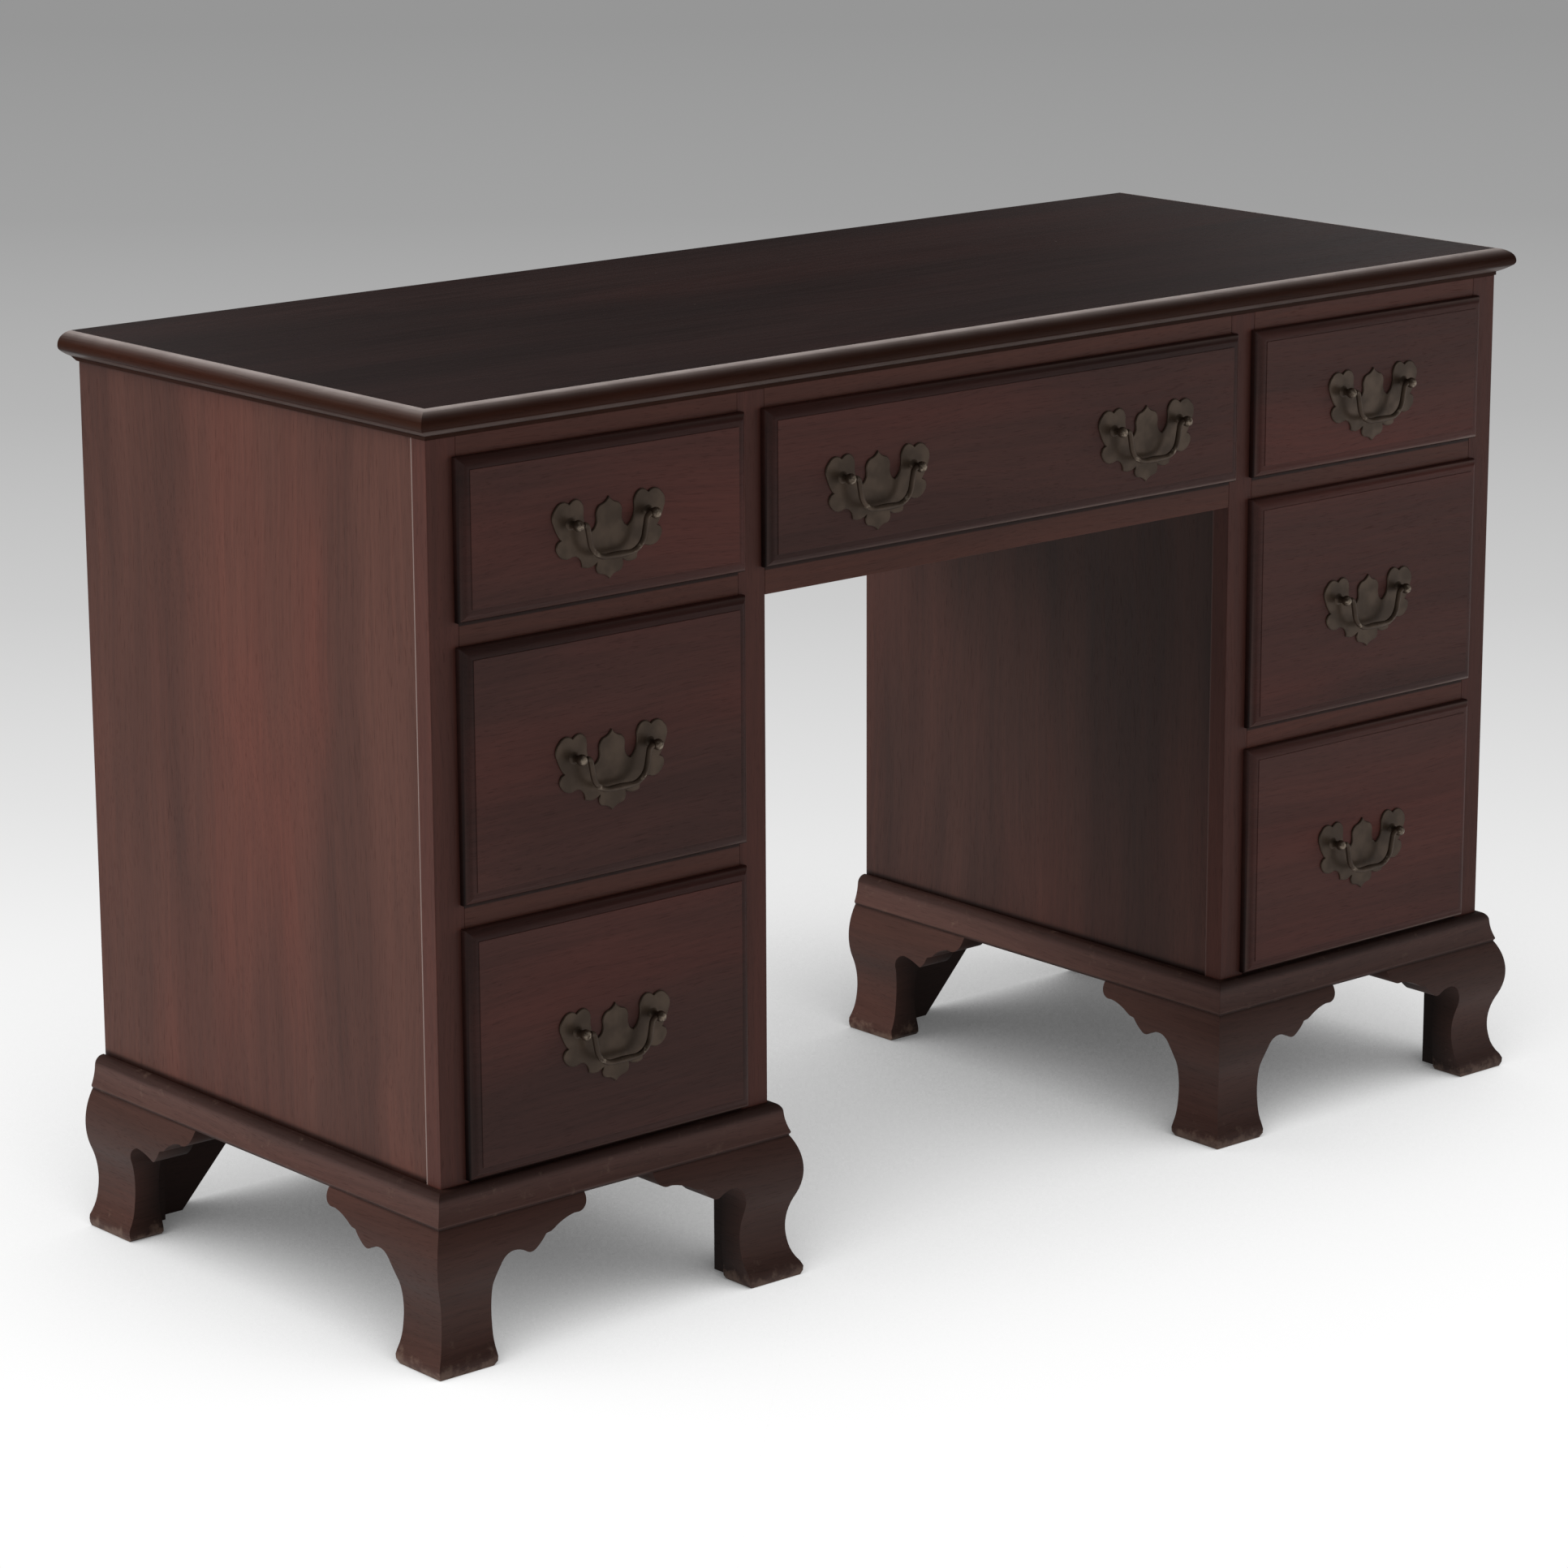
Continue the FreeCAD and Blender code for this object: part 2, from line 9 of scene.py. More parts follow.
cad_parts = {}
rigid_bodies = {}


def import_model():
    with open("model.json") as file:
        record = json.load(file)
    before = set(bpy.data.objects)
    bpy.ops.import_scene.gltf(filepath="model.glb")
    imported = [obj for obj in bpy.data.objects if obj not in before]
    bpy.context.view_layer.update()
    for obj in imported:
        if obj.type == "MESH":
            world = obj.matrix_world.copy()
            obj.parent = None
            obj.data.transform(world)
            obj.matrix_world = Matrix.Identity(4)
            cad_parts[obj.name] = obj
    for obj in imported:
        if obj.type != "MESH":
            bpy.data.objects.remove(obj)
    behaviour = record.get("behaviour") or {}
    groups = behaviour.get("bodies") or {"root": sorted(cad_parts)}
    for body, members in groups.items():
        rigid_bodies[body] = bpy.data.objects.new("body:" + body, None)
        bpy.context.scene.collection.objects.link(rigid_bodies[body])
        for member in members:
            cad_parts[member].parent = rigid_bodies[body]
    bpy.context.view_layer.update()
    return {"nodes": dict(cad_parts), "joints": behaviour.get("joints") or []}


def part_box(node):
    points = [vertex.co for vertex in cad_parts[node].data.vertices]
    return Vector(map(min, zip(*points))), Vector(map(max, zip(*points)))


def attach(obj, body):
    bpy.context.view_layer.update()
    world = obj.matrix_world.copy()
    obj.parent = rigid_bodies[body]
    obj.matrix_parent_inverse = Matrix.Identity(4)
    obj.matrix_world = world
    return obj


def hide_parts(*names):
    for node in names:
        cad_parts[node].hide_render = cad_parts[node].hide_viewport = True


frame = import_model()
scene = bpy.context.scene
nodes = frame["nodes"]
mm = 0.001
weldGap = {"piece": 0.002 * mm, "board": 0.01 * mm}  # points nearer than this become one
easing = {"segments": 2, "angle": 32}  # rounds on an edge, and degrees from which it counts as sharp

# lines of the case, read from the frame
stileLow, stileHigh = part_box("front_stiles")
case = {
    "half": stileHigh.x,
    "kneeHalf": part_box("kneehole_rail")[1].x,
    "faceY": stileLow.y,
    "backY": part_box("left_back")[1].y,
    "footZ": stileLow.z,
    "deskZ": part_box("desk_top")[1].z,
    "topBackY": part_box("desk_top")[1].y,
}
threeSides = [(-1, 0), (-1, -1), (1, -1), (1, 0)]  # ways out at the corners, none to the back


# Arc through three points: centre where the bisectors meet, angles swept from the first to the last by way
# of the middle one.
def arcThrough(first, middle, last, count):
    a, b, c = (np.asarray(p, float) for p in (first, middle, last))
    side = np.array([b - a, c - a])
    center = a + np.linalg.solve(2 * side, (side ** 2).sum(1))
    turns = [math.atan2(*(p - center)[::-1]) for p in (a, b, c)]
    sweep = (turns[2] - turns[0]) % math.tau
    if (turns[1] - turns[0]) % math.tau > sweep:
        sweep -= math.tau
    angle = turns[0] + sweep * np.linspace(0, 1, count)
    radius = np.linalg.norm(a - center)
    return center + radius * np.stack([np.cos(angle), np.sin(angle)], 1)


# Outline walked from a start through (bend or None, end) steps, each bend an arc of so many points.
def walk(start, steps, count):
    runs = [np.array([start], float)]
    for bend, end in steps:
        here = runs[-1][-1]
        run = np.array([end], float) if bend is None else arcThrough(here, bend, end, count)[1:]
        runs.append(run)
    return np.concatenate(runs)


# Both columns of an edge profile, in mm.
def profileOf(look):
    return np.hsplit(walk(look["start"], look["steps"], look["arcPoints"]), 2)


# Corners moved along their own ways by a profile's reach: one ring of corners for each of its points.
def carried(corners, ways, reach):
    return np.array(corners)[None] + reach[:, None] * np.array(ways, float)[None]


# Quads between grid neighbours by rows and columns; a closed direction joins its last line to its first.
def gridFaces(rows, columns, closeRows=False, closeColumns=False):
    index = np.arange(rows * columns).reshape(rows, columns)
    if closeRows:
        index = np.concatenate([index, index[:1]])
    if closeColumns:
        index = np.concatenate([index, index[:, :1]], 1)
    corners = [index[:-1, :-1], index[:-1, 1:], index[1:, 1:], index[1:, :-1]]
    return np.stack(corners, -1).reshape(-1, 4)


# Skin of rings: quads from each ring to the next, the first and the last ring closed by flat faces.
def ringFaces(rings, count):
    faces = [tuple(face) for face in gridFaces(rings, count, closeColumns=True)]
    return faces + [tuple(range(count)), tuple(range((rings - 1) * count, rings * count))]


# Board between two skins that share their faces: both skins, and a wall along every open edge.
def thicken(front, back, faces, digits=7):
    key = np.hstack([front, back]).round(digits)
    key, first, place = np.unique(key, axis=0, return_index=True, return_inverse=True)
    front, back, faces = front[first], back[first], place.reshape(-1)[faces]
    edges = np.concatenate([faces[:, [k, (k + 1) % 4]] for k in range(4)])
    edges = edges[edges[:, 0] != edges[:, 1]]
    unused, where, count = np.unique(np.sort(edges, 1), axis=0, return_index=True, return_counts=True)
    rim = edges[where[count == 1]]
    walls = np.stack([rim[:, 1], rim[:, 0], rim[:, 0] + len(front), rim[:, 1] + len(front)], 1)
    return np.concatenate([front, back]), np.concatenate([faces, faces[:, ::-1] + len(front), walls])


# Several (points, faces) shells as one.
def joined(shells):
    points, faces, base = [], [], 0
    for shellPoints, shellFaces in shells:
        points.append(np.asarray(shellPoints, float))
        faces += [tuple(int(k) + base for k in face) for face in shellFaces]
        base += len(shellPoints)
    return np.concatenate(points), faces


# Plain box between two corners.
def boxShell(low, high):
    low, high = np.asarray(low, float), np.asarray(high, float)
    grid = np.array([[x, y, z] for x in (0, 1) for y in (0, 1) for z in (0, 1)], float)
    faces = [(0, 1, 3, 2), (4, 6, 7, 5), (0, 4, 5, 1), (2, 3, 7, 6), (0, 2, 6, 4), (1, 5, 7, 3)]
    return low + grid * (high - low), faces


# Profile (radius, along) turned about the Y axis through a place.
def turnedShell(place, profile, count):
    angle = np.linspace(0, math.tau, count, endpoint=False)
    radius, along = np.asarray(profile, float).T
    x = place[0] + radius[:, None] * np.cos(angle)
    z = place[2] + radius[:, None] * np.sin(angle)
    y = place[1] + np.repeat(along[:, None], count, 1)
    return np.stack([x, y, z], -1).reshape(-1, 3), ringFaces(len(profile), count)


# Named mesh object, welded and turned outwards, that rides on its body and replaces nodes of the frame.
def makePiece(name, shell, material, body, replaced, values):
    points = np.reshape(shell[0], (-1, 3))
    mesh = bpy.data.meshes.new(name)
    mesh.from_pydata(points.tolist(), [], [[int(k) for k in face] for face in shell[1]])
    for label, value in values.items():
        layer = mesh.attributes.new(label, "FLOAT", "POINT")
        value = np.ravel(value).astype(np.float32)
        layer.data.foreach_set("value", np.broadcast_to(value, len(points)).copy())
    work = bmesh.new()
    work.from_mesh(mesh)
    bmesh.ops.remove_doubles(work, verts=work.verts, dist=weldGap["piece"])
    bmesh.ops.recalc_face_normals(work, faces=work.faces)
    work.to_mesh(mesh)
    work.free()
    mesh.polygons.foreach_set("use_smooth", np.ones(len(mesh.polygons), bool))
    mesh.materials.append(material)
    piece = bpy.data.objects.new(name, mesh)
    scene.collection.objects.link(piece)
    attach(piece, body)
    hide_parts(*replaced)
    return piece


# Softly broken arrises: every edge sharper than the angle gets a small round.
def easeEdges(piece, width, angle=easing["angle"], welded=False):
    if welded:
        close = piece.modifiers.new("close", "WELD")
        close.merge_threshold = weldGap["board"]
    ease = piece.modifiers.new("ease", "BEVEL")
    ease.width = width
    ease.segments = easing["segments"]
    ease.limit_method = "ANGLE"
    ease.angle_limit = math.radians(angle)
    ease.harden_normals = True
    ease.use_clamp_overlap = True


# Shader tools: an input given as a socket is linked, a plain value is set.
def feed(tree, node, inputs):
    for label, value in inputs.items():
        if isinstance(value, bpy.types.NodeSocket):
            tree.links.new(value, node.inputs[label])
        else:
            node.inputs[label].default_value = value
    return node


def addNode(tree, kind, inputs=None, **settings):
    node = tree.nodes.new(kind)
    for label, value in settings.items():
        setattr(node, label, value)
    return feed(tree, node, inputs or {})


def maths(tree, operation, first, second=0.0):
    return addNode(tree, "ShaderNodeMath", {0: first, 1: second}, operation=operation).outputs[0]


def vectorMaths(tree, operation, first, second):
    return addNode(tree, "ShaderNodeVectorMath", {0: first, 1: second}, operation=operation).outputs


def scaled(tree, vector, scale):
    return vectorMaths(tree, "MULTIPLY", vector, scale)[0]


def dimmed(tree, color, factor):
    return addNode(tree, "ShaderNodeVectorMath", {0: color, "Scale": factor}, operation="SCALE").outputs[0]


def mixed(tree, factor, first, second):
    inputs = {0: factor, 6: first, 7: second}  # the colour sockets of a Mix node
    return addNode(tree, "ShaderNodeMix", inputs, data_type="RGBA").outputs[2]


def stepped(tree, value, span, ends=(0.0, 1.0)):
    inputs = {"Value": value, "From Min": span[0], "From Max": span[1], "To Min": ends[0], "To Max": ends[1]}
    return addNode(tree, "ShaderNodeMapRange", inputs, interpolation_type="SMOOTHSTEP").outputs[0]


def noise(tree, vector, scale, detail=2.0, roughness=0.5, output="Fac"):
    inputs = {"Vector": vector, "Scale": scale, "Detail": detail, "Roughness": roughness}
    return addNode(tree, "ShaderNodeTexNoise", inputs).outputs[output]


def split(tree, vector):
    return addNode(tree, "ShaderNodeSeparateXYZ", {0: vector}).outputs


def faceWay(tree, output="True Normal"):
    return split(tree, addNode(tree, "ShaderNodeNewGeometry").outputs[output])


def objectPlace(tree):
    return addNode(tree, "ShaderNodeTexCoord").outputs["Object"]


def attribute(tree, name):
    return addNode(tree, "ShaderNodeAttribute", attribute_name=name).outputs["Fac"]


def solid(color):
    return (*color, 1)


def newMaterial(name):
    material = bpy.data.materials.new(name)
    material.use_nodes = True
    tree = material.node_tree
    return material, tree, tree.nodes["Principled BSDF"]


def makeGroup(name, inputs, outputs):
    tree = bpy.data.node_groups.new(name, "ShaderNodeTree")
    for way, sockets in (("INPUT", inputs), ("OUTPUT", outputs)):
        for label, kind in sockets.items():
            tree.interface.new_socket(label, in_out=way, socket_type="NodeSocket" + kind)
    return tree, tree.nodes.new("NodeGroupInput").outputs, tree.nodes.new("NodeGroupOutput")


def placeGroup(tree, group, inputs):
    return addNode(tree, "ShaderNodeGroup", inputs, node_tree=group).outputs


# grain: each pattern's stretch along and across the board, detail and roughness, and what it does
grainLook = {
    "seedStep": (1.0, 1.7, 2.3),
    "bendStretch": (1.0, 2.0, 2.0), "bendScale": 2.2, "bend": (0.0, 0.05, 0.05),
    "bands": ((1.2, 13.0, 13.0), 3.0, 0.5), "bandSpan": (0.25, 0.75),
    "streaks": ((1.6, 7.0, 7.0), 2.0, 0.5), "streakSpan": (0.45, 0.75),
    "lines": ((5.0, 240.0, 240.0), 3.0, 0.6), "lineSpan": (0.25, 0.75), "lineTone": (0.88, 1.12),
    "roughSpan": (0.2, 0.8), "lineRough": (-0.03, 0.05), "lineHeight": 0.25,
    "pores": ((55.0, 1500.0, 1500.0), 1.0, 0.5), "poreSpan": (0.57, 0.72),
    "poreTone": 0.22, "poreRough": 0.14,
}


# Grain along the group's own X: slow bands, red streaks, fine lines and open pores, all drawn out along it.
def grainGroup(look):
    inputs = {"Vector": "Vector", "Seed": "Float", "Deep": "Color", "Warm": "Color", "Red": "Color",
              "Redness": "Float", "Gloss": "Float"}
    outputs = {"Color": "Color", "Roughness": "Float", "Height": "Float"}
    tree, given, result = makeGroup("mahoganyGrain", inputs, outputs)
    moved = vectorMaths(tree, "ADD", given["Vector"], dimmed(tree, look["seedStep"], given["Seed"]))[0]
    bend = noise(tree, scaled(tree, moved, look["bendStretch"]), look["bendScale"], output="Color")
    bend = vectorMaths(tree, "SUBTRACT", bend, (0.5, 0.5, 0.5))[0]  # noise lies about a half
    grain = vectorMaths(tree, "ADD", moved, scaled(tree, bend, look["bend"]))[0]

    def pattern(name):
        stretch, detail, roughness = look[name]
        return noise(tree, scaled(tree, grain, stretch), 1.0, detail, roughness)

    lines = pattern("lines")
    pores = stepped(tree, pattern("pores"), look["poreSpan"])
    color = mixed(tree, stepped(tree, pattern("bands"), look["bandSpan"]), given["Deep"], given["Warm"])
    red = maths(tree, "MULTIPLY", stepped(tree, pattern("streaks"), look["streakSpan"]), given["Redness"])
    color = mixed(tree, red, color, given["Red"])
    closed = maths(tree, "SUBTRACT", 1.0, maths(tree, "MULTIPLY", pores, look["poreTone"]))
    shade = maths(tree, "MULTIPLY", stepped(tree, lines, look["lineSpan"], look["lineTone"]), closed)
    rough = maths(tree, "ADD", given["Gloss"], maths(tree, "MULTIPLY", pores, look["poreRough"]))
    rough = maths(tree, "ADD", rough, stepped(tree, lines, look["roughSpan"], look["lineRough"]))
    height = maths(tree, "SUBTRACT", maths(tree, "MULTIPLY", lines, look["lineHeight"]), pores)
    feed(tree, result, {"Color": dimmed(tree, color, shade), "Roughness": rough, "Height": height})
    return tree


wearLook = {"scale": 90.0, "detail": 4.0, "roughness": 0.65, "limit": 0.75, "edge": (0.02, 0.3),
            "strength": 0.8}


# Pale scuffs where the arrises and toes are rubbed, and on the brass partly a painted highlight: the piece's
# own wear value broken up by noise.
def wearAndHighlightGroup(look):
    inputs = {"Color": "Color", "Vector": "Vector", "Wear": "Float", "Bare": "Color"}
    tree, given, result = makeGroup("edgeWear", inputs, {"Color": "Color"})
    patches = noise(tree, given["Vector"], look["scale"], look["detail"], look["roughness"])
    limit = maths(tree, "MULTIPLY", maths(tree, "SUBTRACT", 1.0, given["Wear"]), look["limit"])
    mask = stepped(tree, maths(tree, "SUBTRACT", patches, limit), look["edge"], (0.0, look["strength"]))
    mask = maths(tree, "MULTIPLY", mask, stepped(tree, given["Wear"], look["edge"]))
    feed(tree, result, {"Color": mixed(tree, mask, given["Color"], given["Bare"])})
    return tree


dustLook = {"scale": 60.0, "size": 0.07, "upward": (0.9, 0.98), "strength": 0.5, "tone": (0.18, 0.15, 0.13)}


# Scattered pale specks on an upper face: small round cells, most of them empty.
def dustGroup(look):
    inputs = {"Color": "Color", "Vector": "Vector", "Amount": "Float"}
    tree, given, result = makeGroup("dustSpecks", inputs, {"Color": "Color"})
    inputs = {"Vector": given["Vector"], "Scale": look["scale"]}
    cells = addNode(tree, "ShaderNodeTexVoronoi", inputs).outputs
    pick = addNode(tree, "ShaderNodeSeparateColor", {0: cells["Color"]}).outputs
    speck = maths(tree, "LESS_THAN", cells["Distance"], maths(tree, "MULTIPLY", pick[1], look["size"]))
    chosen = maths(tree, "GREATER_THAN", pick[0], maths(tree, "SUBTRACT", 1.0, given["Amount"]))
    upper = stepped(tree, faceWay(tree, "Normal")[2], look["upward"], (0.0, look["strength"]))
    mask = maths(tree, "MULTIPLY", maths(tree, "MULTIPLY", speck, chosen), upper)
    feed(tree, result, {"Color": mixed(tree, mask, given["Color"], solid(look["tone"]))})
    return tree


mahoganyGrain = grainGroup(grainLook)
edgeWear = wearAndHighlightGroup(wearLook)
dustSpecks = dustGroup(dustLook)


# Grain direction: the named axis becomes the group's X; "xy" follows the side that a face looks to.
def grainVector(tree, place, axis):
    parts = split(tree, place)
    order = {"x": (0, 1, 2), "y": (1, 0, 2), "z": (2, 0, 1)}

    def turned(name):
        inputs = {k: parts[j] for k, j in enumerate(order[name])}
        return addNode(tree, "ShaderNodeCombineXYZ", inputs).outputs[0]

    if axis != "xy":
        return turned(axis)
    way = faceWay(tree)
    sideways = maths(tree, "GREATER_THAN", maths(tree, "ABSOLUTE", way[0]), maths(tree, "ABSOLUTE", way[1]))
    inputs = {0: sideways, 4: turned("x"), 5: turned("y")}  # the vector sockets of a Mix node
    return addNode(tree, "ShaderNodeMix", inputs, data_type="VECTOR").outputs[1]


# what the finishes share: noise that breaks up the painted highlights, painted shade above the moulding,
# painted shadow lines under the lips, a painted highlight down the stiles' back arris and depth of the pores
woodDetail = {
    "polishScale": 35.0, "polishDetail": 3.0, "polishSpan": (0.3, 0.7), "polishShare": (0.8, 1.0),
    "grimeRise": (1 * mm, 6 * mm), "grimeTone": 0.25, "broadSide": 0.5,
    "gapDrop": 1.6 * mm, "gapWidth": (0.9 * mm, 2.4 * mm), "gapTone": 0.25,
    "arrisWidth": (0.8 * mm, 2.2 * mm), "arrisStrength": 0.9, "outerSide": (0.5, 0.55), "innerShare": 0.2,
    "poreDepth": 0.15 * mm,
}


# Wood: the grain, and on it whatever else the finish names.
def woodMaterial(name, look, detail):
    material, tree, shader = newMaterial(name)
    place = objectPlace(tree)
    seed = attribute(tree, "boardSeed") if look["seed"] == "board" else look["seed"]
    inputs = {"Vector": grainVector(tree, place, look["axis"]), "Seed": seed, "Redness": look["redness"],
              "Gloss": look["gloss"], "Deep": solid(look["deep"]), "Warm": solid(look["warm"]),
              "Red": solid(look["red"])}
    grain = placeGroup(tree, mahoganyGrain, inputs)
    color = grain["Color"]
    # painted shade where the piece's shade value says
    if look.get("stained"):
        color = mixed(tree, attribute(tree, "shade"), color, dimmed(tree, color, look["stained"]))
    # painted highlight: pale where the piece's highlight value says, broken up by noise
    if look.get("polished"):
        patches = noise(tree, place, detail["polishScale"], detail["polishDetail"])
        uneven = stepped(tree, patches, detail["polishSpan"], detail["polishShare"])
        rubbed = maths(tree, "MULTIPLY", attribute(tree, "polish"), uneven)
        color = mixed(tree, rubbed, color, solid(look["bare"]))
    if look.get("grime"):  # painted shade above the base moulding, on the broad faces only, fading out further up
        span = [look["grime"] + rise for rise in detail["grimeRise"]]
        unshaded = stepped(tree, split(tree, place)[2], span, (detail["grimeTone"], 1.0))
        broad = maths(tree, "GREATER_THAN", maths(tree, "ABSOLUTE", faceWay(tree)[0]), detail["broadSide"])
        unshaded = maths(tree, "MAXIMUM", unshaded, maths(tree, "SUBTRACT", 1.0, broad))
        color = dimmed(tree, color, unshaded)
    for level in look.get("gaps", ()):  # painted shadow: dark line on the rail under each drawer lip
        away = maths(tree, "SUBTRACT", split(tree, place)[2], level - detail["gapDrop"])
        away = maths(tree, "ABSOLUTE", away)
        color = dimmed(tree, color, stepped(tree, away, detail["gapWidth"], (detail["gapTone"], 1.0)))
    if look.get("worn"):
        inputs = {"Color": color, "Vector": place, "Wear": attribute(tree, "wear"),
                  "Bare": solid(look["bare"])}
        color = placeGroup(tree, edgeWear, inputs)[0]
    if look.get("arris"):  # painted highlight: pale line down the back edge of the stiles, strong at the outer ones
        spot = split(tree, place)
        away = maths(tree, "ABSOLUTE", maths(tree, "SUBTRACT", spot[1], look["arris"]))
        line = stepped(tree, away, detail["arrisWidth"], (detail["arrisStrength"], 0.0))
        outward = maths(tree, "ABSOLUTE", spot[0])
        outer = stepped(tree, outward, detail["outerSide"], (detail["innerShare"], 1.0))
        color = mixed(tree, maths(tree, "MULTIPLY", line, outer), color, solid(look["bare"]))
    if look.get("dust"):
        color = placeGroup(tree, dustSpecks, {"Color": color, "Vector": place, "Amount": look["dust"]})[0]
    inputs = {"Height": grain["Height"], "Strength": look["bump"], "Distance": detail["poreDepth"]}
    bump = addNode(tree, "ShaderNodeBump", inputs).outputs[0]
    feed(tree, shader, {"Base Color": color, "Roughness": grain["Roughness"], "Normal": bump,
                        "Specular IOR Level": look["shine"]})
    return material


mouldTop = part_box("left_base_moulding")[1].z
lipLevels = [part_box("left_" + row + "_drawer_front")[0].z for row in ("top", "middle", "bottom")]
finishes = {
    "mahoganyTop": {
        "axis": "x", "seed": 3.1, "redness": 0.4, "gloss": 0.22, "bump": 0.05, "shine": 0.2, "dust": 0.1,
        "deep": (0.0165, 0.0076, 0.0068), "warm": (0.027, 0.012, 0.0105), "red": (0.037, 0.0125, 0.0103),
    },
    "mahoganyEdge": {
        "axis": "xy", "seed": 6.3, "redness": 0.4, "gloss": 0.28, "bump": 0.08, "shine": 0.04,
        "deep": (0.024, 0.0095, 0.006), "warm": (0.034, 0.013, 0.0082), "red": (0.043, 0.0125, 0.0075),
        # pale colour of the painted highlight along the edge
        "polished": True, "bare": (0.42, 0.36, 0.338),
    },
    "mahoganySide": {
        "axis": "z", "seed": 1.3, "redness": 0.6, "gloss": 0.42, "bump": 0.15, "shine": 0.15,
        "deep": (0.058, 0.0248, 0.0192), "warm": (0.098, 0.0405, 0.0302), "red": (0.134, 0.04, 0.0284),
        # painted shade on the lower part, above the base moulding
        "grime": mouldTop,
    },
    "mahoganyInside": {
        "axis": "z", "seed": 8.8, "redness": 0.5, "gloss": 0.4, "bump": 0.15, "shine": 0.2,
        "deep": (0.03, 0.0148, 0.0122), "warm": (0.062, 0.027, 0.0208), "red": (0.082, 0.026, 0.0188),
        # painted shade on the lower part, above the base moulding
        "grime": mouldTop,
    },
    "mahoganyStile": {
        "axis": "z", "seed": 5.2, "redness": 0.4, "gloss": 0.4, "bump": 0.15, "shine": 0.15,
        "deep": (0.064, 0.0228, 0.0175), "warm": (0.08, 0.0282, 0.0215), "red": (0.098, 0.0268, 0.0198),
        # painted highlight down the stiles' back arris
        "arris": stileHigh.y, "bare": (0.26, 0.2, 0.18),
    },
    "mahoganyRail": {
        "axis": "x", "seed": 7.9, "redness": 0.4, "gloss": 0.4, "bump": 0.15, "shine": 0.16,
        "deep": (0.068, 0.025, 0.0178), "warm": (0.085, 0.0308, 0.022), "red": (0.104, 0.029, 0.0202),
    },
    "mahoganyFront": {
        "axis": "x", "seed": "board", "redness": 0.5, "gloss": 0.4, "bump": 0.15, "shine": 0.14,
        "deep": (0.048, 0.0205, 0.017), "warm": (0.076, 0.03, 0.0245), "red": (0.12, 0.0318, 0.0242),
        # painted shade and painted highlight on the lips
        "stained": 0.2, "polished": True, "bare": (0.3, 0.235, 0.21),
    },
    "mahoganyFoot": {
        "axis": "xy", "seed": 11.4, "redness": 0.35, "gloss": 0.45, "bump": 0.2, "shine": 0.18,
        "deep": (0.0425, 0.0202, 0.0157), "warm": (0.064, 0.0292, 0.0225), "red": (0.078, 0.0268, 0.0192),
        # painted shade where the shade value says: backs of the feet, the moulding's shoulder and the joint
        # line
        "stained": 0.3, "worn": True, "bare": (0.14, 0.088, 0.066),
    },
    "drawerPoplar": {
        "axis": "y", "seed": 2.2, "redness": 0.3, "gloss": 0.68, "bump": 0.4, "shine": 0.3,
        "deep": (0.3, 0.2, 0.115), "warm": (0.46, 0.33, 0.2), "red": (0.4, 0.24, 0.13),
    },
}
# the base mouldings are the feet's wood, a little paler
finishes["mahoganyBase"] = dict(finishes["mahoganyFoot"], deep=(0.054, 0.0278, 0.0228),
                                warm=(0.08, 0.0398, 0.0325), red=(0.094, 0.0362, 0.0278))
# the rails under the drawers have a painted shadow line below each lip
finishes["mahoganyDrawerRail"] = dict(finishes["mahoganyRail"], gaps=lipLevels)
wood = {name: woodMaterial(name, look, woodDetail) for name, look in finishes.items()}

brassLook = {
    "dark": (0.056, 0.0375, 0.0255), "bright": (0.083, 0.0565, 0.039), "rubbed": (0.34, 0.275, 0.21),
    "cloudScale": 60.0, "cloudSpan": (0.35, 0.7), "roughSpan": (0.3, 0.75), "rough": (0.4, 0.28),
    "wearStretch": (4, 4, 4), "metallic": 0.4, "shine": 0.25,
    "pitScale": 700.0, "pitDetail": 3.0, "pitStrength": 0.15, "pitDepth": 0.1 * mm,
}


# Aged brass: dark cloudy patina, rubbed bright where the wear value is high; at the post tips and along
# the bail this is partly a painted highlight.
def brassMaterial(look):
    material, tree, shader = newMaterial("agedBrass")
    place = objectPlace(tree)
    clouds = noise(tree, place, look["cloudScale"])
    color = mixed(tree, stepped(tree, clouds, look["cloudSpan"]), solid(look["dark"]), solid(look["bright"]))
    inputs = {"Color": color, "Vector": scaled(tree, place, look["wearStretch"]),
              "Wear": attribute(tree, "wear"), "Bare": solid(look["rubbed"])}
    color = placeGroup(tree, edgeWear, inputs)[0]
    rough = stepped(tree, clouds, look["roughSpan"], look["rough"])
    pits = noise(tree, place, look["pitScale"], look["pitDetail"])
    inputs = {"Height": pits, "Strength": look["pitStrength"], "Distance": look["pitDepth"]}
    bump = addNode(tree, "ShaderNodeBump", inputs).outputs[0]
    feed(tree, shader, {"Base Color": color, "Roughness": rough, "Normal": bump,
                        "Metallic": look["metallic"], "Specular IOR Level": look["shine"]})
    return material


brass = brassMaterial(brassLook)
print("materials:", ", ".join([*wood, "agedBrass"]))

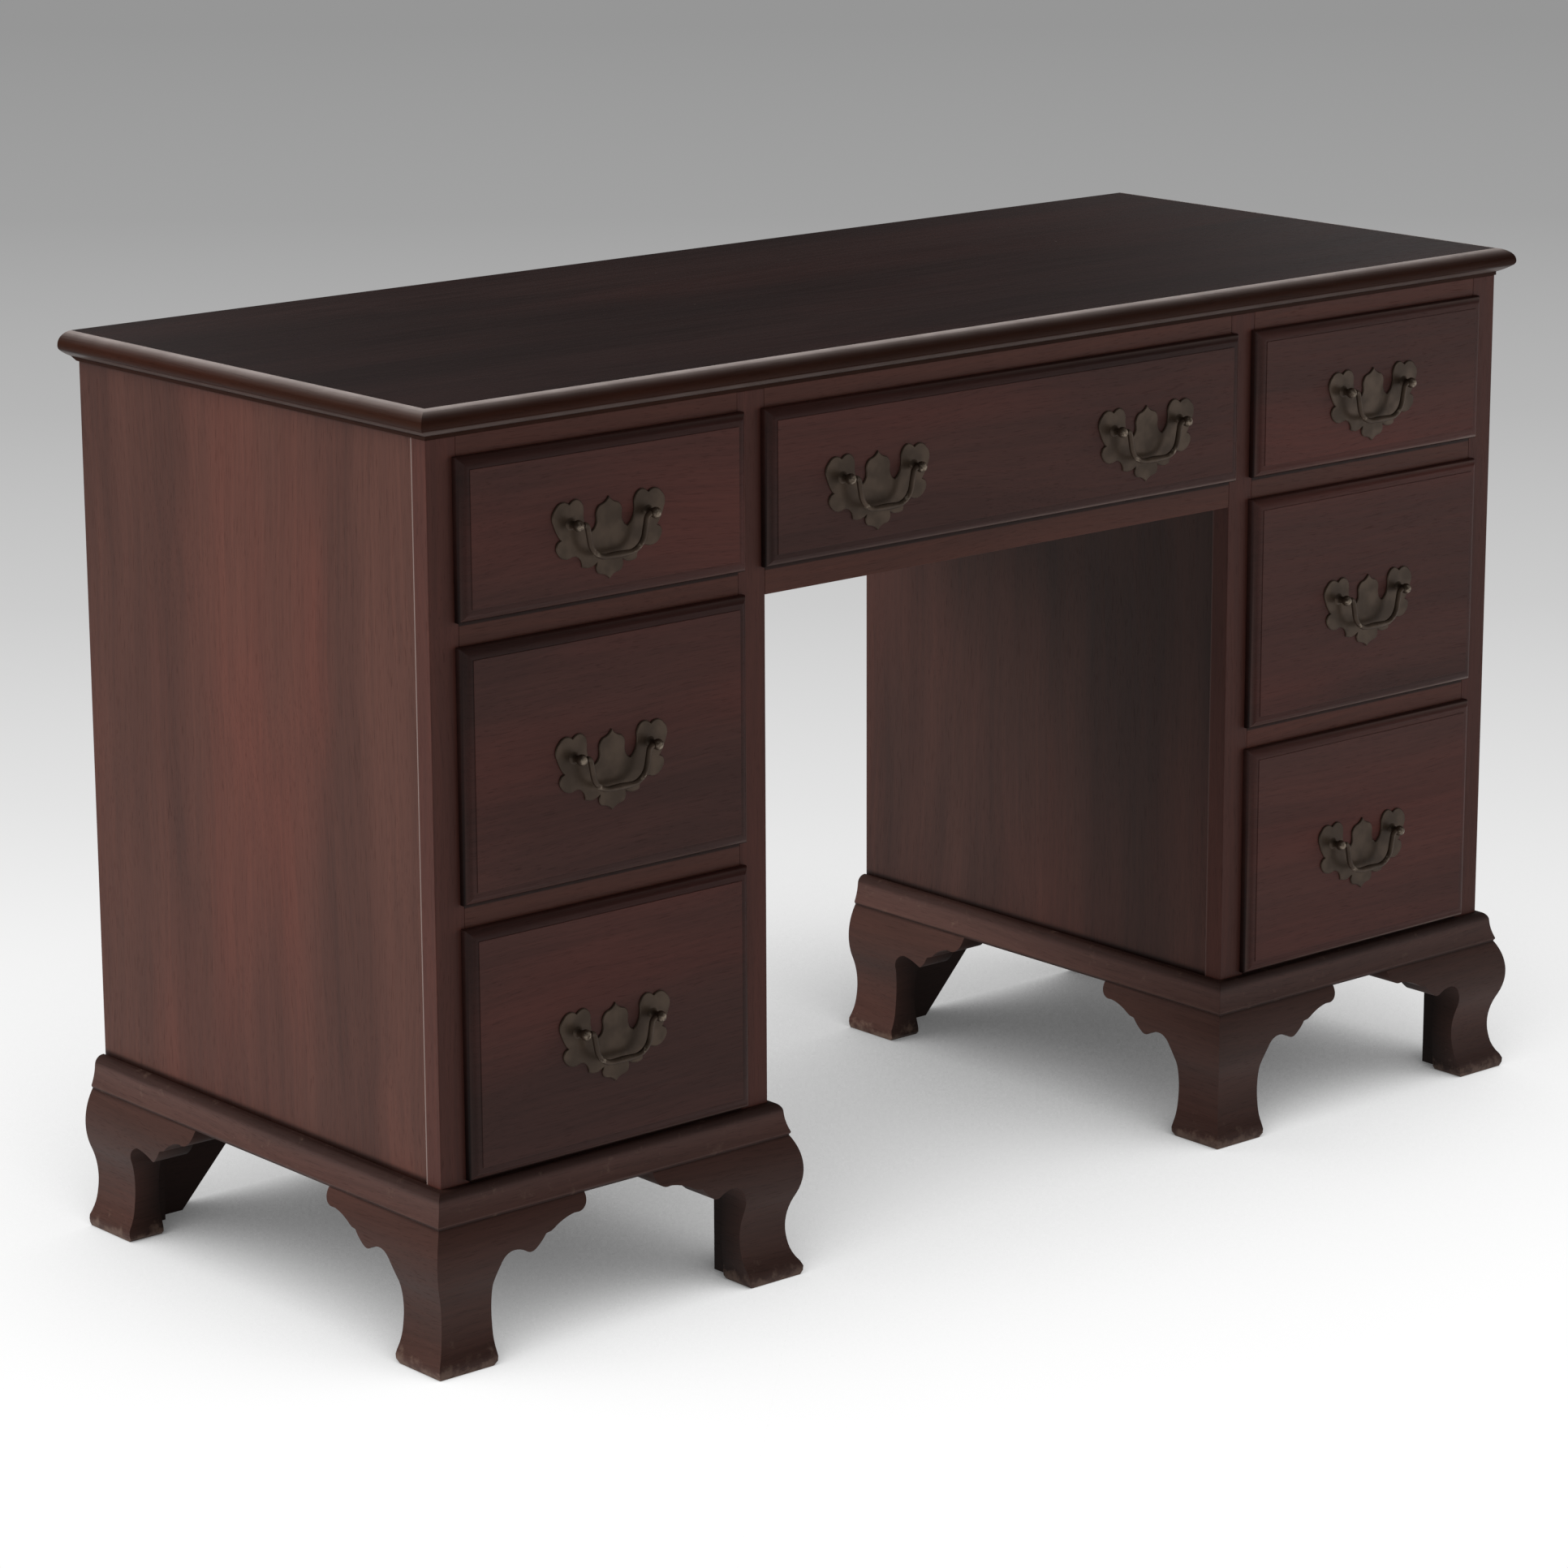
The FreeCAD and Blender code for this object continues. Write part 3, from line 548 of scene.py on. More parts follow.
# boards that stay as the frame has them: width of the broken arris and names, by finish
boards = {
    "mahoganySide": (0.6 * mm, ["left_outer_side", "right_outer_side"]),
    "mahoganyInside": (0.6 * mm, ["left_inner_side", "right_inner_side"]),
    "mahoganyStile": (0.7 * mm, ["front_stiles"]),
    "mahoganyRail": (0.5 * mm, ["top_rails", "kneehole_back", "left_back", "right_back"]),
    "mahoganyDrawerRail": (0.5 * mm, ["kneehole_rail", "left_rails", "right_rails"]),
    "drawerPoplar": (0, ["center_runners", "left_runners", "right_runners", "left_floor", "right_floor"]
                     + [name for name in nodes if name.endswith("_drawer_box")]),
}
for finish, (width, names) in boards.items():
    for name in names:
        nodes[name].data.materials.clear()
        nodes[name].data.materials.append(wood[finish])
        if width:  # jointed poplar boards touch one another and stay square
            easeEdges(nodes[name], width, welded=True)
print("boards:", sum(len(names) for width, names in boards.values()))

# edge of the top, in mm: reach beyond the case and drop below the surface, and how pale its painted
# highlight is by drop
topEdge = {
    "start": (0, 0),
    "steps": [((4.9, 0.95), (9.2, 3.2)), ((12.4, 6.8), (13.4, 10.4)), ((13.1, 13.0), (11.5, 15.1)),
              (None, (11.0, 15.4)), ((6.1, 18.6), (1.0, 21.0)), (None, (1.0, 24.0))],
    "wornDrop": (0, 0.6, 1.6, 3.2, 5.0, 7.5, 15.0, 16.0, 20.0, 20.9),
    "wornShare": (1.0, 0.85, 0.42, 0.15, 0.04, 0, 0, 0.2, 0.32, 0),
    "arcPoints": 12,
    "level": 0.999,  # a face that looks up by more than this is the writing surface
    "ease": 0.45 * mm,
}


# Edge profile carried round the left end, front and right end: each corner moves out by the profile's reach,
# and the profile's drop lowers it. The back is square.
def deskTop(look):
    reach, drop = profileOf(look)
    half, face, back = case["half"], case["faceY"], case["topBackY"]
    plan = carried([(-half, back), (-half, face), (half, face), (half, back)], threeSides, reach * mm)
    plan[-1, [0, 3], 1] = case["backY"]
    height = np.repeat(case["deskZ"] - drop * mm, 4, 1)
    shell = np.concatenate([plan, height[..., None]], -1), ringFaces(len(drop), 4)
    # painted highlight along the upper arris and near the underside's lower edge
    rubbed = np.repeat(np.interp(drop, look["wornDrop"], look["wornShare"]), 4, 1)
    board = makePiece("deskTop", shell, wood["mahoganyEdge"], "case", ["desk_top"],
                      {"polish": rubbed})
    board.data.materials.append(wood["mahoganyTop"])
    for polygon in board.data.polygons:
        polygon.material_index = int(polygon.normal.z > look["level"])
    return board


easeEdges(deskTop(topEdge), topEdge["ease"])
print("top")

# base moulding, in mm: reach from the case and drop below its own top, and how dark its painted shade is by
# drop
baseEdge = {
    "height": 28.0,
    "start": (0, 0),
    "steps": [(None, (2.2, 0)), ((7.4, 2.8), (9.4, 8.0)), ((10.8, 16.5), (13.4, 24.2)),
              ((13.5, 25.8), (12.6, 26.8)), (None, (12.5, 28.0)), (None, (0, 28.0))],
    "arcPoints": 9,
    "rubbed": 0.25,
    "darkDrop": (0, 5.0, 9.0, 25.4, 26.6),
    "darkShare": (0.85, 0.7, 0.0, 0.0, 0.7),
    "ease": 0.5 * mm,
}


# Moulding section carried along the inner side, front and outer side of a pedestal.
def baseMoulding(look, side):
    sign = -1 if side == "left" else 1
    reach, drop = profileOf(look)
    inner, outer, face, back = case["kneeHalf"], case["half"], case["faceY"], case["backY"]
    plan = carried([(inner, back), (inner, face), (outer, face), (outer, back)], threeSides, reach * mm)
    height = np.repeat(case["footZ"] + look["height"] * mm - drop * mm, 4, 1)
    points = np.concatenate([plan * np.array([sign, 1]), height[..., None]], -1)
    faces = [tuple(face) for face in gridFaces(len(drop), 4, closeRows=True)]
    faces += [tuple(range(end, len(drop) * 4, 4)) for end in (0, 3)]
    # painted shade on the upper shoulder and a painted shadow line along the bottom edge over the foot
    shade = np.repeat(np.interp(drop, look["darkDrop"], look["darkShare"]), 4, 1)
    return makePiece(side + "BaseMoulding", (points, faces), wood["mahoganyBase"], "case",
                     [side + "_base_moulding"], {"wear": look["rubbed"], "shade": shade})


for side in ("left", "right"):
    easeEdges(baseMoulding(baseEdge, side), baseEdge["ease"])
print("base mouldings")

# ogee bracket feet, in mm: reach of the ogee from the case by height, the toe's edge and the scalloped lower
# edge along the bracket, the plain board behind the rear feet, and how rubbed they are by height
footShape = {
    "height": 120.0, "inset": 13.5, "rearSlide": 19.0, "block": 18.0, "blockLift": 3.0, "glueLine": 0.05,
    "ogeeStart": (18.6, 0),
    "ogee": [((20.4, 4.8), (20.0, 10.2)), ((14.2, 19.0), (11.2, 29.0)), ((9.9, 44.0), (15.5, 68.0)),
             ((20.8, 93.0), (12.6, 120.0))],
    "toeStart": (38.6, 0),
    "toe": [((40.9, 1.2), (41.8, 4.0)), ((41.6, 7.0), (40.6, 10.5)), ((36.2, 38.0), (43.0, 70.0))],
    "scallop": [((48.5, 82.5), (58.5, 88.0)), ((69.0, 86.0), (79.7, 81.0)), ((86.0, 86.0), (91.2, 94.0)),
                (None, (96.6, 94.4)), ((104.0, 101.0), (118.0, 106.0)), ((129.5, 108.5), (133.0, 117.0))],
    "ogeePoints": 40, "toePoints": 24, "wingPoints": 16,
    "toeRows": 22, "wingRows": 18, "toeColumns": 9, "wingColumns": 56, "wingSpread": 0.95,
    "backThickness": 19.0, "backToe": 61.0, "backLength": 148.0, "backShare": 0.77,
    "rubbedHeight": (0, 6, 16, 40, 120), "rubbed": (0.7, 0.5, 0.25, 0.1, 0.08),
    # painted shadow: how dark the top band of each foot is, under the moulding
    "jointShade": 0.55, "jointBand": 0.1,
    "ease": 0.7 * mm, "easeAngle": 40,
}
# the front feet have a straighter leg, a rounder arch and a blunt tip
frontShape = dict(
    footShape,
    toeStart=(33.8, 0),
    toe=[((36.0, 1.2), (36.8, 4.0)), ((37.0, 7.0), (36.8, 10.5)), ((38.9, 32.0), (38.0, 62.0)),
         ((38.6, 74.0), (41.6, 82.0))],
    scallop=[((46.0, 88.4), (54.5, 91.4)), ((62.0, 90.0), (67.6, 87.0)), ((71.8, 86.0), (76.0, 87.6)),
             ((81.6, 92.4), (87.0, 98.4)), (None, (92.5, 98.6)), ((103.5, 104.2), (118.0, 107.6)),
             ((128.4, 110.4), (131.6, 118.0))],
)


# Bracket skins over (along, height): the ogee gives the front's reach at each height. Below the knee the
# grid runs from the corner to the toe's edge, above it from the scallop up to the top. Mitred brackets start
# at the reach itself, and rear ones, square at the back, are longer by a slide.
def bracketSkins(look, mitred):
    high, inset = look["height"], look["inset"]
    ogee = walk(look["ogeeStart"], look["ogee"], look["ogeePoints"])
    toe = walk(look["toeStart"], look["toe"], look["toePoints"])
    wing = walk(toe[-1], look["scallop"], look["wingPoints"])
    wing[:, 0] = np.maximum.accumulate(wing[:, 0])
    slide = np.array([0 if mitred else look["rearSlide"], 0])
    toe, wing = toe + slide, wing + slide
    kneeX, kneeZ = toe[-1]

    def reachAt(z):
        return np.interp(z, ogee[:, 1], ogee[:, 0])

    def cornerAt(z, front):
        return (-reachAt(z) if front else np.full_like(z, inset)) if mitred else np.zeros_like(z)

    share = np.linspace(0, 1, look["toeColumns"])
    lowZ = np.repeat(np.linspace(0, kneeZ, look["toeRows"])[:, None], len(share), 1)
    lowEnd = np.interp(lowZ, toe[:, 1], toe[:, 0])
    along = np.linspace(0, 1, look["wingColumns"]) ** look["wingSpread"]
    wingX = np.interp(along, np.linspace(0, 1, len(wing)), wing[:, 0])[1:]
    wingLow = np.interp(wingX, wing[:, 0], wing[:, 1])
    start = np.concatenate([np.full(len(share), kneeZ), wingLow])
    rise = np.linspace(0, 1, look["wingRows"])[:, None]
    highZ = start + rise * (high - start)
    skins = []
    for front in (True, False):
        lowX = cornerAt(lowZ, front) * (1 - share) + lowEnd * share
        nearX = cornerAt(highZ[:, :len(share)], front) * (1 - share) + kneeX * share
        highX = np.concatenate([nearX, np.repeat(wingX[None], look["wingRows"], 0)], 1)
        x = np.concatenate([lowX.reshape(-1), highX.reshape(-1)])
        z = np.concatenate([lowZ.reshape(-1), highZ.reshape(-1)])
        y = -reachAt(z) if front else np.full_like(z, inset)
        skins.append(np.stack([x, y, z], 1))
    faces = np.concatenate([gridFaces(*lowZ.shape), gridFaces(*highZ.shape) + lowZ.size])
    return skins[0], skins[1], faces


# Plain board behind a rear foot: an outline with one slanted corner, carried through the thickness.
def backBoard(look):
    near, far, high = look["inset"] + look["glueLine"], look["backLength"], look["height"]
    slant = look["backShare"] * high
    outline = np.array([(near, 0), (look["backToe"], 0), (far, slant), (far, high), (near, high)])
    count = len(outline)
    sides = [(k, (k + 1) % count, (k + 1) % count + count, k + count) for k in range(count)]
    ends = [tuple(range(count)), tuple(range(2 * count - 1, count - 1, -1))]
    return np.concatenate([np.insert(outline, 1, y, 1) for y in (0, look["backThickness"])]), ends + sides


# Foot at a case corner: front feet are two mitred brackets, rear feet one bracket and a slanted board.
def bracketFoot(look, name, node, corner, flip, rear):
    front, back, faces = bracketSkins(look, not rear)
    turned = [skin[:, [1, 0, 2]] for skin in (front, back)]
    inset, block, glue = look["inset"], look["block"], look["glueLine"]
    if rear:
        shells = [thicken(turned[0], turned[1], faces[:, ::-1]), backBoard(look)]
        depth = look["backThickness"]
    else:
        both = [np.concatenate([a, b]) for a, b in zip((front, back), turned)]
        shells = [thicken(both[0], both[1], np.concatenate([faces, faces[:, ::-1] + len(front)]))]
        depth = inset
    blockLow = (inset + glue, depth + glue, look["blockLift"])
    shells.append(boxShell(blockLow, (inset + block, depth + block, look["height"])))
    points, allFaces = joined(shells)
    place, skinned = np.arange(len(points)), len(shells[0][0])
    rubbed = np.where(place < skinned, np.interp(points[:, 2], look["rubbedHeight"], look["rubbed"]), 0.0)
    jointed = points[:, 2] > look["height"] - look["jointBand"]
    shade = np.where(place >= skinned // 2, 1.0, look["jointShade"] * jointed)  # painted shade behind the face, on the block and back board, and a painted shadow line along the top
    points = points * np.array(flip) * mm + np.array([*corner, 0])
    return makePiece(name, (points, allFaces), wood["mahoganyFoot"], "case", [node],
                     {"wear": rubbed, "shade": shade})


for side, sign in (("left", -1), ("right", 1)):
    for across, x, turn in (("inner", case["kneeHalf"], 1), ("outer", case["half"], -1)):
        for end, y, back in (("front", case["faceY"], 1), ("rear", case["backY"], -1)):
            name = side + across.title() + end.title() + "Foot"
            node = "_".join([side, across, end, "foot"])
            shape = footShape if end == "rear" else frontShape
            foot = bracketFoot(shape, name, node, (sign * x, y), (sign * turn, back, 1), end == "rear")
            easeEdges(foot, shape["ease"], shape["easeAngle"])
print("feet")

# drawer fronts, in mm: inset from the lip's edge and depth from the field. The painted highlight and the
# painted shade have a value for the lower left, lower right, upper right and upper left corner
lipShape = {
    "start": (10.0, 0),
    "steps": [(None, (10.0, 0.6)), ((3.2, 2.4), (0, 6.1)), (None, (0, 9.5)), (None, (5.05, 9.5)),
              (None, (5.05, 22.3))],
    "arcPoints": 9,
    "rubbed": (0.2, 0.85, 0.4, 0.0), "rubbedShare": {"left": 0.35, "center": 0.8, "right": 1.0},
    "rubbedInset": (1.6, 3.6), "rubbedDepth": 4.5,
    "stain": {"left": (0.31, 0.31, 0.63, 0.63), "center": (0.38, 0.31, 0.56, 0.63),
              "right": (0.31, 0.25, 0.06, 0.19)},
    "stainDepth": 0.3, "gapStain": (1.0, 1.0, 0.63, 0.5), "gapDepth": 4.5,
    "backStain": 0.31, "backDepth": 10.0,
    "seeds": {"center": 4.0, "left_top": 9.3, "left_middle": 14.1, "left_bottom": 19.7, "right_top": 25.4,
              "right_middle": 31.2, "right_bottom": 37.6},
    "ease": 0.28 * mm,
}


def camel(name, tail):
    first, *rest = name.split("_")
    return first + "".join(word.title() for word in rest) + tail


# Lip profile carried round the front's rectangle: each ring is the rectangle drawn in by the inset.
def drawerFront(look, name):
    low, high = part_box(name + "_drawer_front")
    inset, depth = profileOf(look)
    corners = [(low.x, low.z), (high.x, low.z), (high.x, high.z), (low.x, high.z)]
    plan = carried(corners, [(1, 1), (-1, 1), (-1, -1), (1, -1)], inset * mm)
    points = np.stack([plan[..., 0], np.repeat(low.y + depth * mm, 4, 1), plan[..., 1]], -1)
    pedestal = name.split("_")[0]
    # painted highlight: pale outer arris, strongest at the lower right and on the right pedestal
    rubbed = np.interp(inset, look["rubbedInset"], (1, 0)) * (depth < look["rubbedDepth"])
    rubbed = rubbed * np.array(look["rubbed"]) * look["rubbedShare"][pedestal]
    # painted shade on the bevels, darkest at the top on the left and centre drawers, a painted shadow line
    # along the lip's outer edge, and a uniform darker back
    shade = (depth > look["stainDepth"]) * np.array(look["stain"][pedestal])
    shade = np.where(depth > look["gapDepth"], look["gapStain"], shade)
    shade = np.where(depth > look["backDepth"], look["backStain"], shade)
    return makePiece(camel(name, "DrawerFront"), (points, ringFaces(len(depth), 4)), wood["mahoganyFront"],
                     name + "_drawer", [name + "_drawer_front"],
                     {"polish": rubbed, "shade": shade, "boardSeed": look["seeds"][name]})


for name in lipShape["seeds"]:
    easeEdges(drawerFront(lipShape, name), lipShape["ease"])
print("drawer fronts")

# pulls, in mm: plate outline from its top point round to the bottom as shares of the half width and height,
# posts, bail, and nuts behind the front; rubbed pale by distance out from the plate, and along the bail from
# its middle, partly as wear and partly as a painted highlight
pullShape = {
    "halfWidth": 55.7, "height": 65.0, "thickness": 1.6, "chamfer": 0.7, "arcPoints": 7,
    "top": (0, 0.262),
    "outline": [((0.063, 0.205), (0.144, 0.177)), ((0.206, 0.138), (0.233, 0.046)),
                ((0.251, -0.077), (0.323, -0.131)), ((0.413, -0.046), (0.449, 0.092)),
                ((0.476, 0.231), (0.575, 0.285)), ((0.646, 0.271), (0.700, 0.234)),
                ((0.844, 0.269), (0.943, 0.208)), ((1.0, 0.123), (0.978, 0.015)),
                ((0.925, -0.092), (0.853, -0.185)), ((0.930, -0.231), (0.925, -0.323)),
                ((0.826, -0.408), (0.664, -0.408)), ((0.539, -0.431), (0.485, -0.546)),
                ((0.359, -0.569), (0.224, -0.523)), ((0.238, -0.606), (0.155, -0.668)),
                ((0.075, -0.688), (0.0, -0.738))],
    "spacing": 76.2, "standoff": 9.5, "collar": 5.0, "neck": 2.9, "neckLength": 3.2, "ball": 4.6,
    "flare": (0.5, 1.5), "flarePoints": 7, "ballTurn": 88, "ballPoints": 14, "postSides": 24,
    "endGap": 0.6, "wire": 2.3, "grip": 2.8, "neckBend": 3.8, "cornerBend": 16.0, "lean": 11.0, "drop": 27.6,
    "bendPoints": 9, "gripPoints": 12, "swellPower": 0.8, "pin": 1.5, "pinLength": 3.5, "wireSides": 20,
    "nut": 5.0, "nutThickness": 3.4, "nutSides": 6, "shank": 2.1, "shankReach": 6.2, "shankSides": 16,
    # painted highlight, partly wear: the ball tips are the palest
    "mountOut": (2.0, 9.5, 13.5), "mountRubbed": (0.08, 0.05, 0.6), "mountSharp": 30,
    "bailAlong": (0, 12, 18, 22, 26), "bailRubbed": (0.2, 0.15, 0.3, 0.5, 0.15), "bailSharp": 40,
}


# Plate: outline rings at the back, at the edge and drawn in for the chamfer, closed by flat faces.
def plateShell(look, place):
    right = walk(look["top"], look["outline"], look["arcPoints"])
    right = right * np.array([look["halfWidth"], look["height"]])
    outline = np.concatenate([right, right[-2:0:-1] * np.array([-1, 1])])
    ahead = np.roll(outline, -1, 0) - np.roll(outline, 1, 0)
    inward = np.stack([ahead[:, 1], -ahead[:, 0]], 1) / np.linalg.norm(ahead, axis=1, keepdims=True)
    inward *= np.sign(((outline.mean(0) - outline) * inward).sum())
    rings = [(outline, 0), (outline, look["thickness"] - look["chamfer"]),
             (outline + inward * look["chamfer"], look["thickness"])]
    points = np.concatenate([np.insert(ring, 1, -rise, 1) for ring, rise in rings])
    return points * mm + np.asarray(place), ringFaces(len(rings), len(outline))


# Post: flared foot, neck and ball turned about the axis that stands out from the plate.
def postProfile(look):
    low, high = -math.acos(look["neck"] / look["ball"]), math.radians(look["ballTurn"])
    angle = np.linspace(low, high, look["ballPoints"])
    ball = np.stack([look["ball"] * np.cos(angle), look["standoff"] + look["ball"] * np.sin(angle)], 1)
    collar, waist = (look["collar"], 0), (look["neck"] + look["flare"][0], look["flare"][1])
    foot = arcThrough(collar, waist, (look["neck"], look["neckLength"]), look["flarePoints"])
    profile = np.concatenate([[collar], foot[1:], ball])
    return profile * np.array([1, -1]) * mm


# Behind the drawer front: a six-sided nut on each post's shank, as sides, radius, start and end.
def nutSteps(look):
    return [(look["nutSides"], look["nut"], 0, look["nutThickness"]),
            (look["shankSides"], look["shank"], look["nutThickness"], look["shankReach"])]


# Bail centreline in its own plane: end, neck bend, leaning arm, corner bend and grip, with radius and tilt.
def bailLine(look):
    lean = math.radians(look["lean"])
    bend, drop = look["cornerBend"], look["drop"]
    endX = look["spacing"] / 2 - look["ball"] - look["endGap"]
    angle = np.linspace(0, math.pi / 2 - lean, look["bendPoints"])
    neck = np.stack([endX - look["neckBend"] * np.sin(angle), look["neckBend"] * (np.cos(angle) - 1)], 1)
    armZ = -drop + bend * (1 - math.sin(lean))
    armX = neck[-1, 0] - (neck[-1, 1] - armZ) * math.tan(lean)
    cornerX = armX - bend * math.cos(lean)
    back = angle[::-1]
    corner = np.stack([cornerX + bend * np.sin(back), bend * (1 - np.cos(back)) - drop], 1)
    along = np.linspace(cornerX, 0, look["gripPoints"])[1:]
    grip = np.stack([along, np.full_like(along, -drop)], 1)
    half = np.concatenate([neck, corner, grip])
    middle = np.interp(half[:, 0], [0, cornerX], [1, 0]) ** look["swellPower"]
    swell = look["wire"] + (look["grip"] - look["wire"]) * middle
    return half, swell, np.concatenate([angle, back, np.zeros_like(along)])


# Bail: rings of the wire's radius square to the line, and a thinner pin at each end.
def bailShell(look, place):
    half, swell, tilt = bailLine(look)
    line = np.concatenate([half, half[-2::-1] * np.array([-1, 1])])
    pin = np.array([(look["pinLength"], 0), (0, 0)])
    line = np.concatenate([line[:1] + pin, line, line[-1:] - pin[::-1]])
    radius = np.concatenate([[look["pin"]] * 2, swell, swell[-2::-1], [look["pin"]] * 2])
    tilt = np.concatenate([[0, 0], tilt, -tilt[-2::-1], [0, 0]])
    count = look["wireSides"]
    angle = np.linspace(0, math.tau, count, endpoint=False)
    across = np.stack([-np.sin(tilt), np.zeros(len(tilt)), np.cos(tilt)], 1)
    ring = across[:, None] * np.cos(angle)[:, None] + np.array([0, 1, 0]) * np.sin(angle)[:, None]
    points = np.insert(line, 1, 0, 1)[:, None] + ring * radius[:, None, None]
    rubbed = np.interp(np.abs(line[:, 0]), look["bailAlong"], look["bailRubbed"])
    return points * mm + np.asarray(place), ringFaces(len(line), count), np.repeat(rubbed, count)


# Plate, two posts and their nuts as one piece; the seat is the plate's face, where the posts stand.
def pullMount(look, name, joint):
    axisX, axisY, axisZ = joint["pos_m"]
    seat = axisY + look["standoff"] * mm
    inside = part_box(joint["parent"] + "_front")[1].y
    shells = [plateShell(look, (axisX, seat + look["thickness"] * mm, axisZ))]
    for side in (-1, 1):
        postX = axisX + side * look["spacing"] / 2 * mm
        shells.append(turnedShell((postX, seat, axisZ), postProfile(look), look["postSides"]))
        for sides, radius, start, end in nutSteps(look):
            profile = np.array([(radius, start), (radius, end)]) * mm
            shells.append(turnedShell((postX, inside, axisZ), profile, sides))
    points, faces = joined(shells)
    rubbed = np.interp((seat - points[:, 1]) / mm, look["mountOut"], look["mountRubbed"])
    mount = makePiece(camel(name, "PullMount"), (points, faces), brass, joint["parent"],
                      [name + "_pull_mount"], {"wear": rubbed})
    mount.data.set_sharp_from_angle(angle=math.radians(look["mountSharp"]))


def pullBail(look, name, joint):
    points, faces, rubbed = bailShell(look, joint["pos_m"])
    bail = makePiece(camel(name, "Bail"), (points, faces), brass, joint["child"],
                     [name + "_bail"], {"wear": rubbed})
    bail.data.set_sharp_from_angle(angle=math.radians(look["bailSharp"]))


for joint in frame["joints"]:
    if joint["type"] == "hinge":
        name = joint["child"][:-len("_bail")]
        pullMount(pullShape, name, joint)
        pullBail(pullShape, name, joint)
print("pulls")

# camera where the photograph was taken from
viewpoint = {"place": (-2.8815, -3.2951, 1.457), "yaw": 40.691, "pitch": 14.469, "roll": -0.23,
             "focalPixels": 6395.0, "imagePixels": 1932.0, "sensor": 36.0, "clipEnd": 200}


def addCamera(look):
    yaw, pitch, roll = (math.radians(look[key]) for key in ("yaw", "pitch", "roll"))
    ahead = Vector((math.sin(yaw) * math.cos(pitch), math.cos(yaw) * math.cos(pitch), -math.sin(pitch)))
    right = Vector((math.cos(yaw), -math.sin(yaw), 0))
    up = right.cross(ahead)
    acrossImage = right * math.cos(roll) + up * math.sin(roll)
    upImage = up * math.cos(roll) - right * math.sin(roll)
    lens = bpy.data.cameras.new("camera")
    lens.sensor_width = look["sensor"]
    lens.lens = look["sensor"] * look["focalPixels"] / look["imagePixels"]
    lens.clip_end = look["clipEnd"]
    camera = bpy.data.objects.new("camera", lens)
    turn = Matrix((acrossImage, upImage, -ahead)).transposed().to_4x4()
    camera.matrix_world = Matrix.Translation(look["place"]) @ turn
    scene.collection.objects.link(camera)
    scene.camera = camera


addCamera(viewpoint)

# studio: pale glowing floor that darkens behind the desk, soft suns from the left and right behind and from
# the right in front, a low panel at the right and a dim room
studio = {
    "floorSize": 60.0, "away": (0.652, 0.758, 0), "reach": (-0.5, 9.5),
    "falls": [(-0.4, 1.02), (0.0, 0.985), (0.5, 0.92), (1.2, 0.77), (2.2, 0.605), (3.6, 0.468), (5.7, 0.357),
              (9.1, 0.305)],
    "shadowReach": 1.0, "shadowFrom": (-0.22, -0.25, 0.94), "shadowSamples": 12,
    "deepest": 0.07, "clear": 0.94, "bounce": 0.72, "dim": 0.02, "lit": 0.13,
    "dimSide": (0.6274, 0.761, 0.165), "dimEdge": (0.986, 0.998),
}
suns = {
    "key": {"from": (-0.64, 0.55, 0.54), "spread": 45, "strength": 3.4},
    "rim": {"from": (0.35, 0.5, 0.79), "spread": 45, "strength": 0.7},
    "front": {"from": (0.87, -0.48, 0.1), "spread": 40, "strength": 1.3},
}
fill = {"place": (1.9, -1.3, 0.45), "aim": (0.45, -0.2, 0.45), "size": (0.9, 0.7), "power": 1.0}


